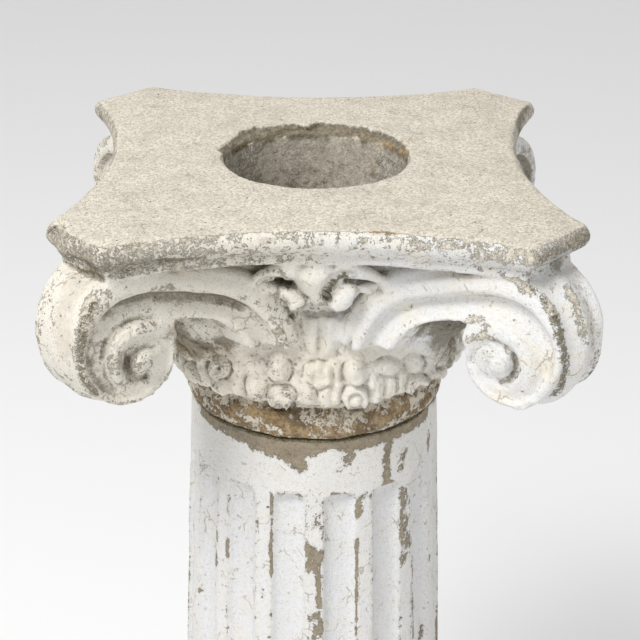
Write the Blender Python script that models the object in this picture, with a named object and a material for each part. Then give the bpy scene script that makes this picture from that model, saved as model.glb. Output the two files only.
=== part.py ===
# A short fluted column in cast stone with a four-sided Ionic capital.
# Three hollow castings stand on each other by their own weight: base, shaft and capital.
# Metres, +Z up, origin on the ground at the column's axis; the front faces -Y.

import math

import bmesh
import bpy
import numpy as np
from mathutils import Matrix, Vector

# Whole column
BORE_RADIUS = 0.088
JOINT_GAP = 0.0003
ROUND_SIDES = 32
SHARP_ANGLE = 35.0

# Base casting: a square plinth under two rolls with a hollow between them
PLINTH_HALF_WIDTH = 0.200
PLINTH_HEIGHT = 0.048
LOWER_ROLL_HEIGHT = 0.036
LOWER_ROLL_RADIUS = 0.194
HOLLOW_HEIGHT = 0.026
HOLLOW_RADIUS = 0.162
HOLLOW_LIP = 0.004
HOLLOW_LIP_RADIUS = 0.176
HOLLOW_TOP_RADIUS = 0.1635
UPPER_ROLL_HEIGHT = 0.021
UPPER_ROLL_RADIUS = 0.176

# Shaft casting
SHAFT_HEIGHT = 0.780
SHAFT_FOOT_RADIUS = 0.150
SHAFT_NECK_RADIUS = 0.1245
SHAFT_SWELL = 1.5
FOOT_BAND_HEIGHT = 0.012
FOOT_BAND_PROUD = 0.011
FOOT_CURVE_HEIGHT = 0.020
FLUTES = 16
FLUTE_SHARE = 0.63
FLUTE_DEPTH = 0.0095
FLUTE_END_HEIGHT = 0.017
FLUTE_FOOT_MARGIN = 0.055
FLUTE_NECK_MARGIN = 0.059
FLUTE_STEPS = 3

# Capital casting: the slab on top (abacus)
CAPITAL_HEIGHT = 0.241
ABACUS_HALF_WIDTH = 0.230
ABACUS_HORN_HALF_WIDTH = 0.176
ABACUS_SIDE_SAG = 0.038
ABACUS_ROLL_HEIGHT = 0.026
ABACUS_ROLL_BULGE = 0.003
ABACUS_FILLET_HEIGHT = 0.011
ABACUS_FILLET_SETBACK = 0.010
ABACUS_GROOVE_SETBACK = 0.013
ABACUS_ARRIS = 0.001
ABACUS_SIDE_STEPS = 6

# Capital casting: the ring at its foot (astragal) and the bell
RING_HEIGHT = 0.030
RING_RADIUS = 0.1335
RING_FOOT_RADIUS = 0.1285
COVE_HEIGHT = 0.012
COVE_RADIUS = 0.1245
COVE_TOP_RADIUS = 0.1355
BELL_BELLY_RADIUS = 0.146
BELL_BELLY_HEIGHT = 0.080
BELL_TOP_RADIUS = 0.160
WEB_TO_EYES = 0.002
WEB_STEEPNESS = 3.0

# Capital casting: the corner scrolls (volutes). A scroll is drawn on a curved upright sheet that
# leaves the bell at the middle of a face and swings out to the corner.
SCROLL_SHEET_MIDDLE = 0.156
SCROLL_CORNER_REACH = 0.2435
SCROLL_CORNER_SIDE = 0.205
SCROLL_EYE_SIDE = 0.152
SCROLL_EYE_DROP = 0.078
SCROLL_EYE_RADIUS = 0.012
SCROLL_EYE_RISE = 0.007
SCROLL_CONE_RISE = 0.009
SCROLL_STEP = 24
# Turn of the scroll in degrees (0 is straight up, 90 towards the corner) and the radius there
SCROLL_FIRST_TURN = -96
SCROLL_OUTER_EDGE = (
    (SCROLL_FIRST_TURN, 0.138),
    (-72, 0.123),
    (-48, 0.095),
    (-24, 0.081),
    (0, 0.080),
    (24, 0.081),
    (48, 0.078),
    (90, 0.064),
    (135, 0.050),
    (180, 0.039),
    (225, 0.035),
    (270, 0.031),
    (312, 0.042),
    (336, 0.0375),
    (360, 0.0345),
    (450, 0.027),
    (540, 0.018),
    (600, SCROLL_EYE_RADIUS),
)
# The lower edge of the band that runs to the scroll, and the turn where it lands on the scroll
SCROLL_LANDING_TURN = -48
SCROLL_LOWER_EDGE = ((SCROLL_FIRST_TURN, 0.101), (-79, 0.082), (-61, 0.056), (SCROLL_LANDING_TURN, 0.043))
SCROLL_BLEND = 60.0
SCROLL_LAST_TURN = 600
RIB_WIDTH_SHARE = 0.16
RIB_RISE = 0.0025
CHANNEL_DEPTH = 0.007
LOWER_RIB_RISE = 0.001
HORN_RIDGE_RISE = 0.004
HORN_HOLLOW_DEPTH = 0.002
HORN_BANDS = 4
# Turns over which the band's ridge rises behind the slab and dies away under the scroll
HORN_RIDGE_RISES = (-30, 30)
HORN_RIDGE_ENDS = (200, 250)

# Capital casting: the curled leaf under the middle of each slab side
FLEURON_HALF_WIDTH = 0.044
FLEURON_WAIST_HALF_WIDTH = 0.009
FLEURON_HEIGHT = 0.036
FLEURON_PROUD = 0.006
FLEURON_DEPTH = 0.050
WING_LENGTH = 0.030
WING_THICKNESS = 0.010
WING_SIDE = 0.040
WING_DROP = 0.010
WING_TILT = 62.0
WING_SET_IN = 0.006
LOBE_LENGTH = 0.019
LOBE_THICKNESS = 0.0105
LOBE_SIDE = 0.021
LOBE_DROP = 0.025
LOBE_TILT = 40.0

# Capital casting: the garland of flowers and cups round the bell
GARLAND_COLUMNS = 7
GARLAND_SPACING = 12.0
FLOWER_RADIUS = 0.0135
FLOWER_HEIGHT_SHARE = 0.26
CUP_RADIUS = 0.0120
CUP_HEIGHT_SHARE = 0.085
GARLAND_PROUD = 0.004
LEAF_LENGTH = 0.040
LEAF_THICKNESS = 0.011
LEAF_ANGLE = 33.0
LEAF_TILT = 55.0
LEAF_HEIGHT_SHARE = 0.50

# Places that follow from the sizes above
PLINTH_TOP = PLINTH_HEIGHT
BASE_TOP = PLINTH_TOP + LOWER_ROLL_HEIGHT + HOLLOW_LIP + HOLLOW_HEIGHT + HOLLOW_LIP + UPPER_ROLL_HEIGHT
SHAFT_FOOT = BASE_TOP + JOINT_GAP
SHAFT_TOP = SHAFT_FOOT + SHAFT_HEIGHT
CAPITAL_FOOT = SHAFT_TOP + JOINT_GAP
CAPITAL_TOP = CAPITAL_FOOT + CAPITAL_HEIGHT
ABACUS_UNDERSIDE = CAPITAL_TOP - ABACUS_ROLL_HEIGHT - ABACUS_FILLET_HEIGHT
ABACUS_SIDE_MIDDLE = ABACUS_HALF_WIDTH - ABACUS_SIDE_SAG
BELL_FOOT = CAPITAL_FOOT + RING_HEIGHT + COVE_HEIGHT
SCROLL_EYE_HEIGHT = ABACUS_UNDERSIDE - SCROLL_EYE_DROP


def clear_scene():
    for thing in list(bpy.data.objects):
        bpy.data.objects.remove(thing)


def stone(name, colour, roughness):
    material = bpy.data.materials.new(name)
    material.use_nodes = True
    shader = material.node_tree.nodes["Principled BSDF"]
    shader.inputs["Base Color"].default_value = (*colour, 1.0)
    shader.inputs["Roughness"].default_value = roughness
    shader.inputs["Metallic"].default_value = 0.0
    material.diffuse_color = (*colour, 1.0)
    return material


def add_object(name, bm, material=None):
    bmesh.ops.remove_doubles(bm, verts=bm.verts, dist=1e-6)
    bmesh.ops.recalc_face_normals(bm, faces=bm.faces)
    mesh = bpy.data.meshes.new(name)
    bm.to_mesh(mesh)
    bm.free()
    mesh.shade_smooth()
    mesh.set_sharp_from_angle(angle=math.radians(SHARP_ANGLE))
    thing = bpy.data.objects.new(name, mesh)
    bpy.context.scene.collection.objects.link(thing)
    if material:
        mesh.materials.append(material)
    return thing


def smooth_knots(knots, at):
    """A smooth curve through (place, value) pairs, which keeps flat where the pairs are level."""
    places = np.array([k[0] for k in knots], float)
    values = np.array([k[1] for k in knots], float)
    gaps = np.diff(places)
    slopes = np.diff(values) / gaps
    tangents = np.concatenate(([slopes[0]], np.zeros(len(slopes) - 1), [slopes[-1]]))
    for i in range(1, len(slopes)):
        before, after = slopes[i - 1], slopes[i]
        if before * after > 0:
            weight_a = 2 * gaps[i] + gaps[i - 1]
            weight_b = gaps[i] + 2 * gaps[i - 1]
            tangents[i] = (weight_a + weight_b) / (weight_a / before + weight_b / after)
    at = min(max(at, places[0]), places[-1])
    i = min(int(np.searchsorted(places, at, side="right")) - 1, len(gaps) - 1)
    t = (at - places[i]) / gaps[i]
    return float(
        values[i] * (1 + 2 * t) * (1 - t) ** 2
        + tangents[i] * gaps[i] * t * (1 - t) ** 2
        + values[i + 1] * t * t * (3 - 2 * t)
        + tangents[i + 1] * gaps[i] * t * t * (t - 1)
    )


def loft(rings, close_ends=False, cyclic=False):
    """Skins rings of equally many points, in order. A cyclic loft joins the last ring to the first."""
    bm = bmesh.new()
    loops = [[bm.verts.new(point) for point in ring] for ring in rings]
    pairs = list(zip(loops, loops[1:]))
    if cyclic:
        pairs.append((loops[-1], loops[0]))
    for lower, upper in pairs:
        for i in range(len(lower)):
            j = (i + 1) % len(lower)
            bm.faces.new((lower[i], lower[j], upper[j], upper[i]))
    if close_ends:
        bm.faces.new(loops[0])
        bm.faces.new(loops[-1])
    return bm


def circle(radius, height, angles):
    return [(radius * math.cos(a), radius * math.sin(a), height) for a in angles]


def even_angles(count):
    return [2 * math.pi * i / count for i in range(count)]


def half_round(low, high, inner, outer, steps):
    """The (height, radius) points of a roll that swells from inner to outer between two heights."""
    points = []
    for i in range(steps + 1):
        turn = math.pi * i / steps
        height = (low + high) / 2 - (high - low) / 2 * math.cos(turn)
        points.append((height, inner + (outer - inner) * math.sin(turn)))
    return points


def build_base(material):
    angles = even_angles(8 * math.ceil(ROUND_SIDES / 8))

    def square(height):
        reach = [PLINTH_HALF_WIDTH / max(abs(math.cos(a)), abs(math.sin(a))) for a in angles]
        return [(r * math.cos(a), r * math.sin(a), height) for r, a in zip(reach, angles)]

    roll_foot = LOWER_ROLL_RADIUS - LOWER_ROLL_HEIGHT / 2
    upper_foot = UPPER_ROLL_RADIUS - UPPER_ROLL_HEIGHT / 2
    lip_low = PLINTH_TOP + LOWER_ROLL_HEIGHT
    hollow_low = lip_low + HOLLOW_LIP
    hollow_high = hollow_low + HOLLOW_HEIGHT
    lip_high = hollow_high + HOLLOW_LIP
    profile = half_round(PLINTH_TOP, lip_low, roll_foot, LOWER_ROLL_RADIUS, steps=4)
    profile += [(lip_low, HOLLOW_LIP_RADIUS), (hollow_low, HOLLOW_LIP_RADIUS)]
    profile += [(hollow_low + share * HOLLOW_HEIGHT, HOLLOW_RADIUS) for share in (0.3, 0.7)]
    profile += [(hollow_high, HOLLOW_TOP_RADIUS), (lip_high, HOLLOW_TOP_RADIUS)]
    profile += half_round(lip_high, BASE_TOP, upper_foot, UPPER_ROLL_RADIUS, steps=3)
    rings = [square(0.0), square(PLINTH_TOP)]
    rings += [circle(radius, height, angles) for height, radius in profile]
    rings += [circle(BORE_RADIUS, BASE_TOP, angles), circle(BORE_RADIUS, 0.0, angles)]
    return add_object("base", loft(rings, cyclic=True), material)


def shaft_radius(height):
    """Radius of the shaft between its flutes, with the swelling that draws in towards the neck."""
    share = (height - SHAFT_FOOT) / SHAFT_HEIGHT
    plain = SHAFT_FOOT_RADIUS - (SHAFT_FOOT_RADIUS - SHAFT_NECK_RADIUS) * share**SHAFT_SWELL
    above_band = height - SHAFT_FOOT - FOOT_BAND_HEIGHT
    if above_band < FOOT_CURVE_HEIGHT:
        sweep = 1 - max(above_band, 0.0) / FOOT_CURVE_HEIGHT
        plain += FOOT_BAND_PROUD * (1 - math.sqrt(1 - min(sweep, 1.0) ** 2))
    return plain


def shaft_ring(height, opening):
    """One ring of the shaft. opening is the flutes' share of full width, 0 where the shaft is round."""
    pitch = 2 * math.pi / FLUTES
    half = pitch * FLUTE_SHARE / 2 * (opening if opening > 0 else 1.0)
    radius = shaft_radius(height)
    points = []
    for flute in range(FLUTES):
        middle = (flute + 0.5) * pitch - math.pi / 2
        for step in range(FLUTE_STEPS + 1):
            side = 2 * step / FLUTE_STEPS - 1
            depth = FLUTE_DEPTH * opening * math.sqrt(max(0.0, 1 - side * side))
            a = middle + half * side
            points.append(((radius - depth) * math.cos(a), (radius - depth) * math.sin(a), height))
    return points


def build_shaft(material):
    flute_low = SHAFT_FOOT + FLUTE_FOOT_MARGIN
    flute_high = SHAFT_TOP - FLUTE_NECK_MARGIN
    levels = [(SHAFT_FOOT, 0.0), (SHAFT_FOOT + FOOT_BAND_HEIGHT, 0.0)]
    levels += [(SHAFT_FOOT + FOOT_BAND_HEIGHT + FOOT_CURVE_HEIGHT * share, 0.0) for share in (0.3, 1.0)]
    arch = ((0.0, 0.0), (0.15, 0.7), (1.0, 1.0))
    levels += [(flute_low + FLUTE_END_HEIGHT * share, opening) for share, opening in arch]
    levels.append(((flute_low + flute_high) / 2, 1.0))
    levels += [(flute_high - FLUTE_END_HEIGHT * share, opening) for share, opening in reversed(arch)]
    levels.append((SHAFT_TOP, 0.0))
    rings = [shaft_ring(height, opening) for height, opening in levels]
    angles = [math.atan2(y, x) for x, y, _ in shaft_ring(SHAFT_TOP, 1.0)]
    rings += [circle(BORE_RADIUS, SHAFT_TOP, angles), circle(BORE_RADIUS, SHAFT_FOOT, angles)]
    return add_object("shaft", loft(rings, cyclic=True), material)


def abacus_outline(setback, height):
    """The slab's plan, drawn in by setback: four hollow sides between four cut corners."""
    chord = ABACUS_HORN_HALF_WIDTH
    arc_radius = (chord**2 + ABACUS_SIDE_SAG**2) / (2 * ABACUS_SIDE_SAG)
    arc_centre = ABACUS_SIDE_MIDDLE + arc_radius
    corner_reach = (ABACUS_HALF_WIDTH + ABACUS_HORN_HALF_WIDTH) / math.sqrt(2) - setback
    radius = arc_radius + setback
    # Where the drawn-in side arc meets the drawn-in corner line, x + y = corner_reach * sqrt(2)
    total = corner_reach * math.sqrt(2)
    b = arc_centre - total
    root = math.sqrt(max(0.0, 2 * radius**2 - b * b))
    corner_x = (-b + root) / 2
    edge_turn = math.asin(corner_x / radius)
    points = []
    for quarter in range(4):
        turn = Matrix.Rotation(quarter * math.pi / 2, 3, "Z")
        for i in range(ABACUS_SIDE_STEPS + 1):
            a = edge_turn * (2 * i / ABACUS_SIDE_STEPS - 1)
            points.append(turn @ Vector((radius * math.sin(a), radius * math.cos(a) - arc_centre, height)))
    return points


def build_abacus():
    top, roll = CAPITAL_TOP, ABACUS_ROLL_HEIGHT
    groove = top - roll
    layers = (
        (top, ABACUS_ARRIS),
        (top - 0.15 * roll, -0.6 * ABACUS_ROLL_BULGE),
        (top - 0.60 * roll, -ABACUS_ROLL_BULGE),
        (groove, 0.7 * ABACUS_FILLET_SETBACK),
        (groove, ABACUS_GROOVE_SETBACK),
        (groove - 0.15 * ABACUS_FILLET_HEIGHT, ABACUS_FILLET_SETBACK),
        (ABACUS_UNDERSIDE, ABACUS_FILLET_SETBACK + ABACUS_ARRIS),
    )
    rings = [abacus_outline(setback, height) for height, setback in layers]
    return add_object("abacus_form", loft(rings, close_ends=True))


def bell_radius(height):
    """Radius of the bell at the middle of a face."""
    belly = BELL_FOOT + 0.35 * BELL_BELLY_HEIGHT
    knots = (
        (BELL_FOOT - COVE_HEIGHT, COVE_RADIUS),
        (BELL_FOOT - 0.4 * COVE_HEIGHT, COVE_RADIUS),
        (BELL_FOOT, COVE_TOP_RADIUS),
        (BELL_FOOT + 0.15 * BELL_BELLY_HEIGHT, 0.3 * COVE_TOP_RADIUS + 0.7 * BELL_BELLY_RADIUS),
        (belly, BELL_BELLY_RADIUS),
        (BELL_FOOT + BELL_BELLY_HEIGHT, BELL_BELLY_RADIUS),
        (ABACUS_UNDERSIDE, BELL_TOP_RADIUS),
    )
    return smooth_knots(knots, height)


def web_radius(height):
    """Radius of the bell on the diagonals, where it flares out to just short of the scrolls' eyes."""
    rise = ABACUS_UNDERSIDE - BELL_FOOT
    top = (SCROLL_EYE_SIDE + sheet_depth(SCROLL_EYE_SIDE)) / math.sqrt(2) - WEB_TO_EYES
    flare = top - COVE_RADIUS
    knots = (
        (BELL_FOOT - COVE_HEIGHT, COVE_RADIUS),
        (BELL_FOOT, COVE_TOP_RADIUS),
        (BELL_FOOT + 0.15 * rise, COVE_RADIUS + 0.20 * flare),
        (BELL_FOOT + 0.33 * rise, COVE_RADIUS + 0.38 * flare),
        (BELL_FOOT + 0.60 * rise, COVE_RADIUS + 0.80 * flare),
        (ABACUS_UNDERSIDE, top),
    )
    return smooth_knots(knots, height)


def bell_reach(angle, height):
    """Radius of the bell in any direction."""
    flare = abs(math.sin(2 * angle)) ** (2 * WEB_STEEPNESS)
    return bell_radius(height) + (web_radius(height) - bell_radius(height)) * flare


def build_bell():
    angles = even_angles(ROUND_SIDES)
    rise = ABACUS_UNDERSIDE - BELL_FOOT
    heights = [BELL_FOOT - COVE_HEIGHT, BELL_FOOT - 0.4 * COVE_HEIGHT]
    heights += [BELL_FOOT + share * rise for share in (0.0, 0.12, 0.33, 0.6, 0.8, 1.05)]
    ring_foot = CAPITAL_FOOT
    ring_points = (
        (ring_foot, RING_FOOT_RADIUS),
        (ring_foot + 0.25 * RING_HEIGHT, RING_RADIUS),
        (ring_foot + 0.7 * RING_HEIGHT, RING_RADIUS),
        (ring_foot + RING_HEIGHT, RING_FOOT_RADIUS),
    )
    rings = [circle(radius, height, angles) for height, radius in ring_points]
    for height in heights:
        reach = [bell_reach(a, min(height, ABACUS_UNDERSIDE)) for a in angles]
        rings.append([(r * math.cos(a), r * math.sin(a), height) for r, a in zip(reach, angles)])
    return add_object("bell_form", loft(rings, close_ends=True))


def sheet_depth(side):
    """How far out from the axis the scroll sheet stands, at a distance to the side of the face's middle."""
    swing = SCROLL_CORNER_REACH - SCROLL_SHEET_MIDDLE
    return SCROLL_SHEET_MIDDLE + swing * (side / SCROLL_CORNER_SIDE) ** 2


def sheet_slope(side):
    return 2 * (SCROLL_CORNER_REACH - SCROLL_SHEET_MIDDLE) * side / SCROLL_CORNER_SIDE**2


def length_along_sheet(side):
    """Length of the sheet's parabola from the middle of the face."""
    curvature = sheet_slope(1.0)
    slope = curvature * side
    return (slope * math.sqrt(1 + slope * slope) + math.asinh(slope)) / (2 * curvature)


def side_at_length(length):
    side = length
    for _ in range(8):
        side -= (length_along_sheet(side) - length) / math.sqrt(1 + sheet_slope(side) ** 2)
    return side


def scroll_outer(turn):
    return smooth_knots(SCROLL_OUTER_EDGE, turn)


def scroll_inner(turn):
    return smooth_knots(SCROLL_LOWER_EDGE, turn) if turn < SCROLL_LANDING_TURN else scroll_outer(turn + 360)


def scroll_relief(turn, share):
    """Height of the carving over the sheet, from the outer rib (share 0) across the channel (share 1)."""
    cone = SCROLL_CONE_RISE * max(0.0, turn) / SCROLL_LAST_TURN
    width = 1.0 if turn < 360 else 1.0 - 0.5 * (turn - 360) / (SCROLL_LAST_TURN - 360)
    if share <= RIB_WIDTH_SHARE:
        return cone + RIB_RISE * math.sin(math.pi / 2 * share / RIB_WIDTH_SHARE) * width
    across = (share - RIB_WIDTH_SHARE) / (1 - RIB_WIDTH_SHARE)
    landed = min(1.0, max(0.0, (turn - SCROLL_LANDING_TURN) / SCROLL_BLEND))
    hollow = math.sin(math.pi * across * (1.0 - 0.38 * landed)) ** 0.8 if across < 1 or landed > 0 else 0.0
    rib = RIB_RISE * (1 - across) + LOWER_RIB_RISE * across * (1 - landed)
    return cone + (rib - CHANNEL_DEPTH * hollow) * width


def scroll_point(turn, radius, relief):
    """A point of a scroll on the right half of the front face."""
    a = math.radians(turn)
    side = side_at_length(length_along_sheet(SCROLL_EYE_SIDE) + radius * math.sin(a))
    slope = sheet_slope(side)
    normal = Vector((-slope, -1.0, 0.0)).normalized()
    return Vector((side, -sheet_depth(side), SCROLL_EYE_HEIGHT + radius * math.cos(a))) + normal * relief


def mirror_in_diagonal(point):
    return Vector((-point.y, -point.x, point.z))


def add_scroll_face(bm, mirrored):
    """Adds one carved scroll face, and returns its outline with the turn at each point of it."""
    place = mirror_in_diagonal if mirrored else Vector
    steps = (SCROLL_LAST_TURN - SCROLL_FIRST_TURN) // SCROLL_STEP
    turns = [SCROLL_FIRST_TURN + SCROLL_STEP * i for i in range(steps + 1)]
    shares = (0.0, RIB_WIDTH_SHARE, (1 + RIB_WIDTH_SHARE) / 2, 1.0)
    last = len(shares) - 1
    rows = []
    for turn in turns:
        outer, inner = scroll_outer(turn), scroll_inner(turn)
        if turn == SCROLL_LAST_TURN:
            end = bm.verts.new(place(scroll_point(turn, outer, SCROLL_CONE_RISE)))
            rows.append([end] * len(shares))
            continue
        rows.append(
            [
                bm.verts.new(place(scroll_point(turn, outer + (inner - outer) * s, scroll_relief(turn, s))))
                for s in shares
            ]
        )
    around = 360 // SCROLL_STEP
    first = turns.index(SCROLL_LANDING_TURN)

    def face(*corners):
        unique = list(dict.fromkeys(corners))
        if len(unique) > 2:
            bm.faces.new(unique)

    for i in range(steps):
        for j in range(last):
            face(rows[i][j], rows[i + 1][j], rows[i + 1][j + 1], rows[i][j + 1])
        if i >= first and i + 1 + around <= steps:
            face(rows[i][last], rows[i + 1][last], rows[i + 1 + around][0], rows[i + around][0])
    eye = bm.verts.new(place(scroll_point(0, 0.0, SCROLL_CONE_RISE + SCROLL_EYE_RISE)))
    rim = [rows[i][last] for i in range(steps - around, steps + 1)]
    for a, b in zip(rim, rim[1:] + rim[:1]):
        face(a, b, eye)
    outline = [(rows[0][j], None) for j in range(last, 0, -1)]
    outline += [(rows[i][0], turns[i]) for i in range(first + around + 1)]
    outline += [(rows[i][last], None) for i in range(first, 0, -1)]
    return outline


def horn_band(turn, share):
    """Swelling of the horn's outer edge across its width: a hollow each side of a middle ridge."""
    if turn is None:
        return 0.0
    fade = float(np.interp(turn, HORN_RIDGE_RISES, (0, 1)) * np.interp(turn, HORN_RIDGE_ENDS, (1, 0)))
    ridge = HORN_RIDGE_RISE * math.sin(math.pi * share) ** 4
    return fade * (ridge - HORN_HOLLOW_DEPTH * abs(math.sin(2 * math.pi * share)))


def build_horn(name, quarter):
    """A corner scroll: two carved faces, mirror images in the diagonal, joined by the band between them."""
    bm = bmesh.new()
    near = add_scroll_face(bm, mirrored=False)
    far = add_scroll_face(bm, mirrored=True)
    diagonal = Vector((1.0, -1.0, 0.0)).normalized()
    heart = diagonal * SCROLL_EYE_SIDE * 1.6 + Vector((0, 0, SCROLL_EYE_HEIGHT))
    count = len(near)
    middle = [(a.co + b.co) / 2 for (a, _), (b, _) in zip(near, far)]
    strips = []
    for i, ((a, turn), (b, _)) in enumerate(zip(near, far)):
        along = middle[(i + 1) % count] - middle[i - 1]
        outward = Vector((diagonal.x * along.z, diagonal.y * along.z, -along.dot(diagonal)))
        outward = outward.normalized() if outward.length > 0 else diagonal
        if outward.dot(middle[i] - heart) < 0:
            outward = -outward
        strip = [a]
        for j in range(1, HORN_BANDS):
            share = j / HORN_BANDS
            strip.append(bm.verts.new(a.co.lerp(b.co, share) + outward * horn_band(turn, share)))
        strips.append(strip + [b])
    for i in range(count):
        here, after = strips[i], strips[(i + 1) % count]
        for j in range(HORN_BANDS):
            bm.faces.new((here[j], after[j], after[j + 1], here[j + 1]))
    bm.transform(Matrix.Rotation(quarter * math.pi / 2, 4, "Z"))
    return add_object(name, bm)


def add_ellipsoid(bm, centre, radii, turn):
    made = bmesh.ops.create_icosphere(bm, subdivisions=1, radius=1.0)
    matrix = Matrix.Translation(centre) @ turn @ Matrix.Diagonal((*radii, 1.0))
    bmesh.ops.transform(bm, matrix=matrix, verts=made["verts"])


def build_fleuron(name, quarter):
    """The leaf that curls out under the slab: a fan, wide under the slab, over two hanging lobes."""
    front = ABACUS_SIDE_MIDDLE + FLEURON_PROUD
    top = ABACUS_UNDERSIDE + 0.5 * ABACUS_FILLET_HEIGHT
    low = ABACUS_UNDERSIDE - FLEURON_HEIGHT

    def section(half, depth_share, height):
        reach = front - (front - SCROLL_SHEET_MIDDLE) * depth_share
        back = -(reach - FLEURON_DEPTH)
        near, shoulder = -0.97 * reach, 0.7 * half
        plan = ((-half, back), (-shoulder, near), (0.0, -reach), (shoulder, near), (half, back))
        return [(x, y, height) for x, y in plan]

    rings = (
        section(FLEURON_WAIST_HALF_WIDTH, 0.55, low),
        section(FLEURON_WAIST_HALF_WIDTH * 1.3, 0.25, low + 0.4 * FLEURON_HEIGHT),
        section(FLEURON_HALF_WIDTH * 0.8, 0.0, low + 0.8 * FLEURON_HEIGHT),
        section(FLEURON_HALF_WIDTH, 0.08, top),
    )
    fan = add_object(name + "_fan", loft(rings, close_ends=True))
    fan.data.transform(Matrix.Rotation(quarter * math.pi / 2, 4, "Z"))
    pieces = [fan]
    parts = (
        ("lobe", LOBE_SIDE, LOBE_DROP, LOBE_TILT, LOBE_THICKNESS, LOBE_LENGTH, 0.0),
        ("wing", WING_SIDE, WING_DROP, -WING_TILT, WING_THICKNESS, WING_LENGTH, WING_SET_IN),
    )
    for part, offset, drop, tilt, thickness, length, set_in in parts:
        for side in (-1, 1):
            bm = bmesh.new()
            turn = Matrix.Rotation(math.radians(side * tilt), 4, "Y")
            centre = Vector((side * offset, -(front - 0.5 * thickness - set_in), ABACUS_UNDERSIDE - drop))
            add_ellipsoid(bm, centre, (thickness, thickness, length), turn)
            bm.transform(Matrix.Rotation(quarter * math.pi / 2, 4, "Z"))
            pieces.append(add_object(f"{name}_{part}_{side}", bm))
    return pieces


def build_garland(name, quarter):
    """Flowers round one face of the bell, with a cup under every second one and a leaf at each end."""
    pieces = []
    rise = ABACUS_UNDERSIDE - BELL_FOOT
    flower_height = BELL_FOOT + FLOWER_HEIGHT_SHARE * rise
    cup_height = BELL_FOOT + CUP_HEIGHT_SHARE * rise
    middle = GARLAND_COLUMNS // 2
    for column in range(GARLAND_COLUMNS):
        angle = math.radians(quarter * 90 - 90 + (column - middle) * GARLAND_SPACING)
        facing = Matrix.Rotation(angle, 4, "Z")
        odd = (column - middle) % 2 == 1
        sizes = [(flower_height, FLOWER_RADIUS)]
        if odd:
            sizes.append((cup_height, CUP_RADIUS))
        for row, (height, size) in enumerate(sizes):
            reach = bell_reach(angle, height) + GARLAND_PROUD - 0.4 * size
            bm = bmesh.new()
            centre = facing @ Vector((reach, 0.0, height))
            add_ellipsoid(bm, centre, (0.8 * size, size, size), facing)
            pieces.append(add_object(f"{name}_{column}_{row}", bm))
    for side in (-1, 1):
        angle = math.radians(quarter * 90 - 90 + side * LEAF_ANGLE)
        facing = Matrix.Rotation(angle, 4, "Z")
        height = BELL_FOOT + LEAF_HEIGHT_SHARE * rise
        centre = facing @ Vector((bell_reach(angle, height), 0.0, height))
        bm = bmesh.new()
        turn = facing @ Matrix.Rotation(math.radians(-side * LEAF_TILT), 4, "X")
        add_ellipsoid(bm, centre, (LEAF_THICKNESS, LEAF_THICKNESS, LEAF_LENGTH / 2), turn)
        pieces.append(add_object(f"{name}_leaf_{side}", bm))
    return pieces


def build_capital(material):
    body = build_abacus()
    body.name = "capital"
    body.data.materials.append(material)
    forms = bpy.data.collections.new("capital_forms")
    bpy.context.scene.collection.children.link(forms)
    pieces = [build_bell()]
    for quarter in range(4):
        pieces.append(build_horn(f"horn_{quarter}", quarter))
        pieces += build_fleuron(f"fleuron_{quarter}", quarter)
        pieces += build_garland(f"garland_{quarter}", quarter)
    for piece in pieces:
        bpy.context.scene.collection.objects.unlink(piece)
        forms.objects.link(piece)
        piece.hide_render = True
        piece.display_type = "WIRE"
    union = body.modifiers.new("carving", "BOOLEAN")
    union.operation = "UNION"
    union.operand_type = "COLLECTION"
    union.collection = forms
    union.solver = "EXACT"
    angles = even_angles(ROUND_SIDES)
    ends = (CAPITAL_FOOT - RING_HEIGHT, CAPITAL_TOP + RING_HEIGHT)
    bore = add_object("bore_cutter", loft([circle(BORE_RADIUS, z, angles) for z in ends], close_ends=True))
    bore.hide_render = True
    bore.display_type = "WIRE"
    cut = body.modifiers.new("bore", "BOOLEAN")
    cut.operation = "DIFFERENCE"
    cut.object = bore
    cut.solver = "EXACT"
    return body


def main():
    clear_scene()
    bare = stone("bare_cast_stone", (0.60, 0.56, 0.48), 0.92)
    painted = stone("flaking_white_paint", (0.78, 0.77, 0.74), 0.70)
    build_base(painted)
    build_shaft(painted)
    build_capital(bare)


main()
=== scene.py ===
import math

import bmesh
import bpy
import numpy as np
from mathutils import Matrix, Vector
from mathutils.bvhtree import BVHTree


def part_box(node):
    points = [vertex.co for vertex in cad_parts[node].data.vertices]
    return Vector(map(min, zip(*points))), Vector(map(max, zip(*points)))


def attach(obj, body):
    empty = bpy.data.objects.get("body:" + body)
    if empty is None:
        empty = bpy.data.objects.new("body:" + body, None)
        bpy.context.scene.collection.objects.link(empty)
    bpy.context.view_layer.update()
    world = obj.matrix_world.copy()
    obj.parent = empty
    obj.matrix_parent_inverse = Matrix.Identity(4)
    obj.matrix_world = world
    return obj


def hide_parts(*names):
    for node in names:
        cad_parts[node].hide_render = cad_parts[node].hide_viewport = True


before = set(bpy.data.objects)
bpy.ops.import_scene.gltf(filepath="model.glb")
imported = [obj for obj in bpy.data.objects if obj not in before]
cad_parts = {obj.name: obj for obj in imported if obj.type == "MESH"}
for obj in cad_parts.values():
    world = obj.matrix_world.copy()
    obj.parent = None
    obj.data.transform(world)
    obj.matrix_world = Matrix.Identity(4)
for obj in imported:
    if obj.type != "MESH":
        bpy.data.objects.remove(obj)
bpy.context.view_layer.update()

# Camera
# It stands over a metre in front of the column and almost half a metre above the slab, looking
# down on it. It is turned and tilted by under half a degree, as the photographer held it.
PICTURE_WIDTH = 640
FOCAL_PIXELS = 1510.0
CAMERA_AWAY = 1.36765
CAMERA_ABOVE_SLAB = 0.47079
CAMERA_PITCH = 0.440236
CAMERA_YAW = 0.003931
CAMERA_ROLL = 0.007526
CAMERA_ROUND = 0.007469

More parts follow.
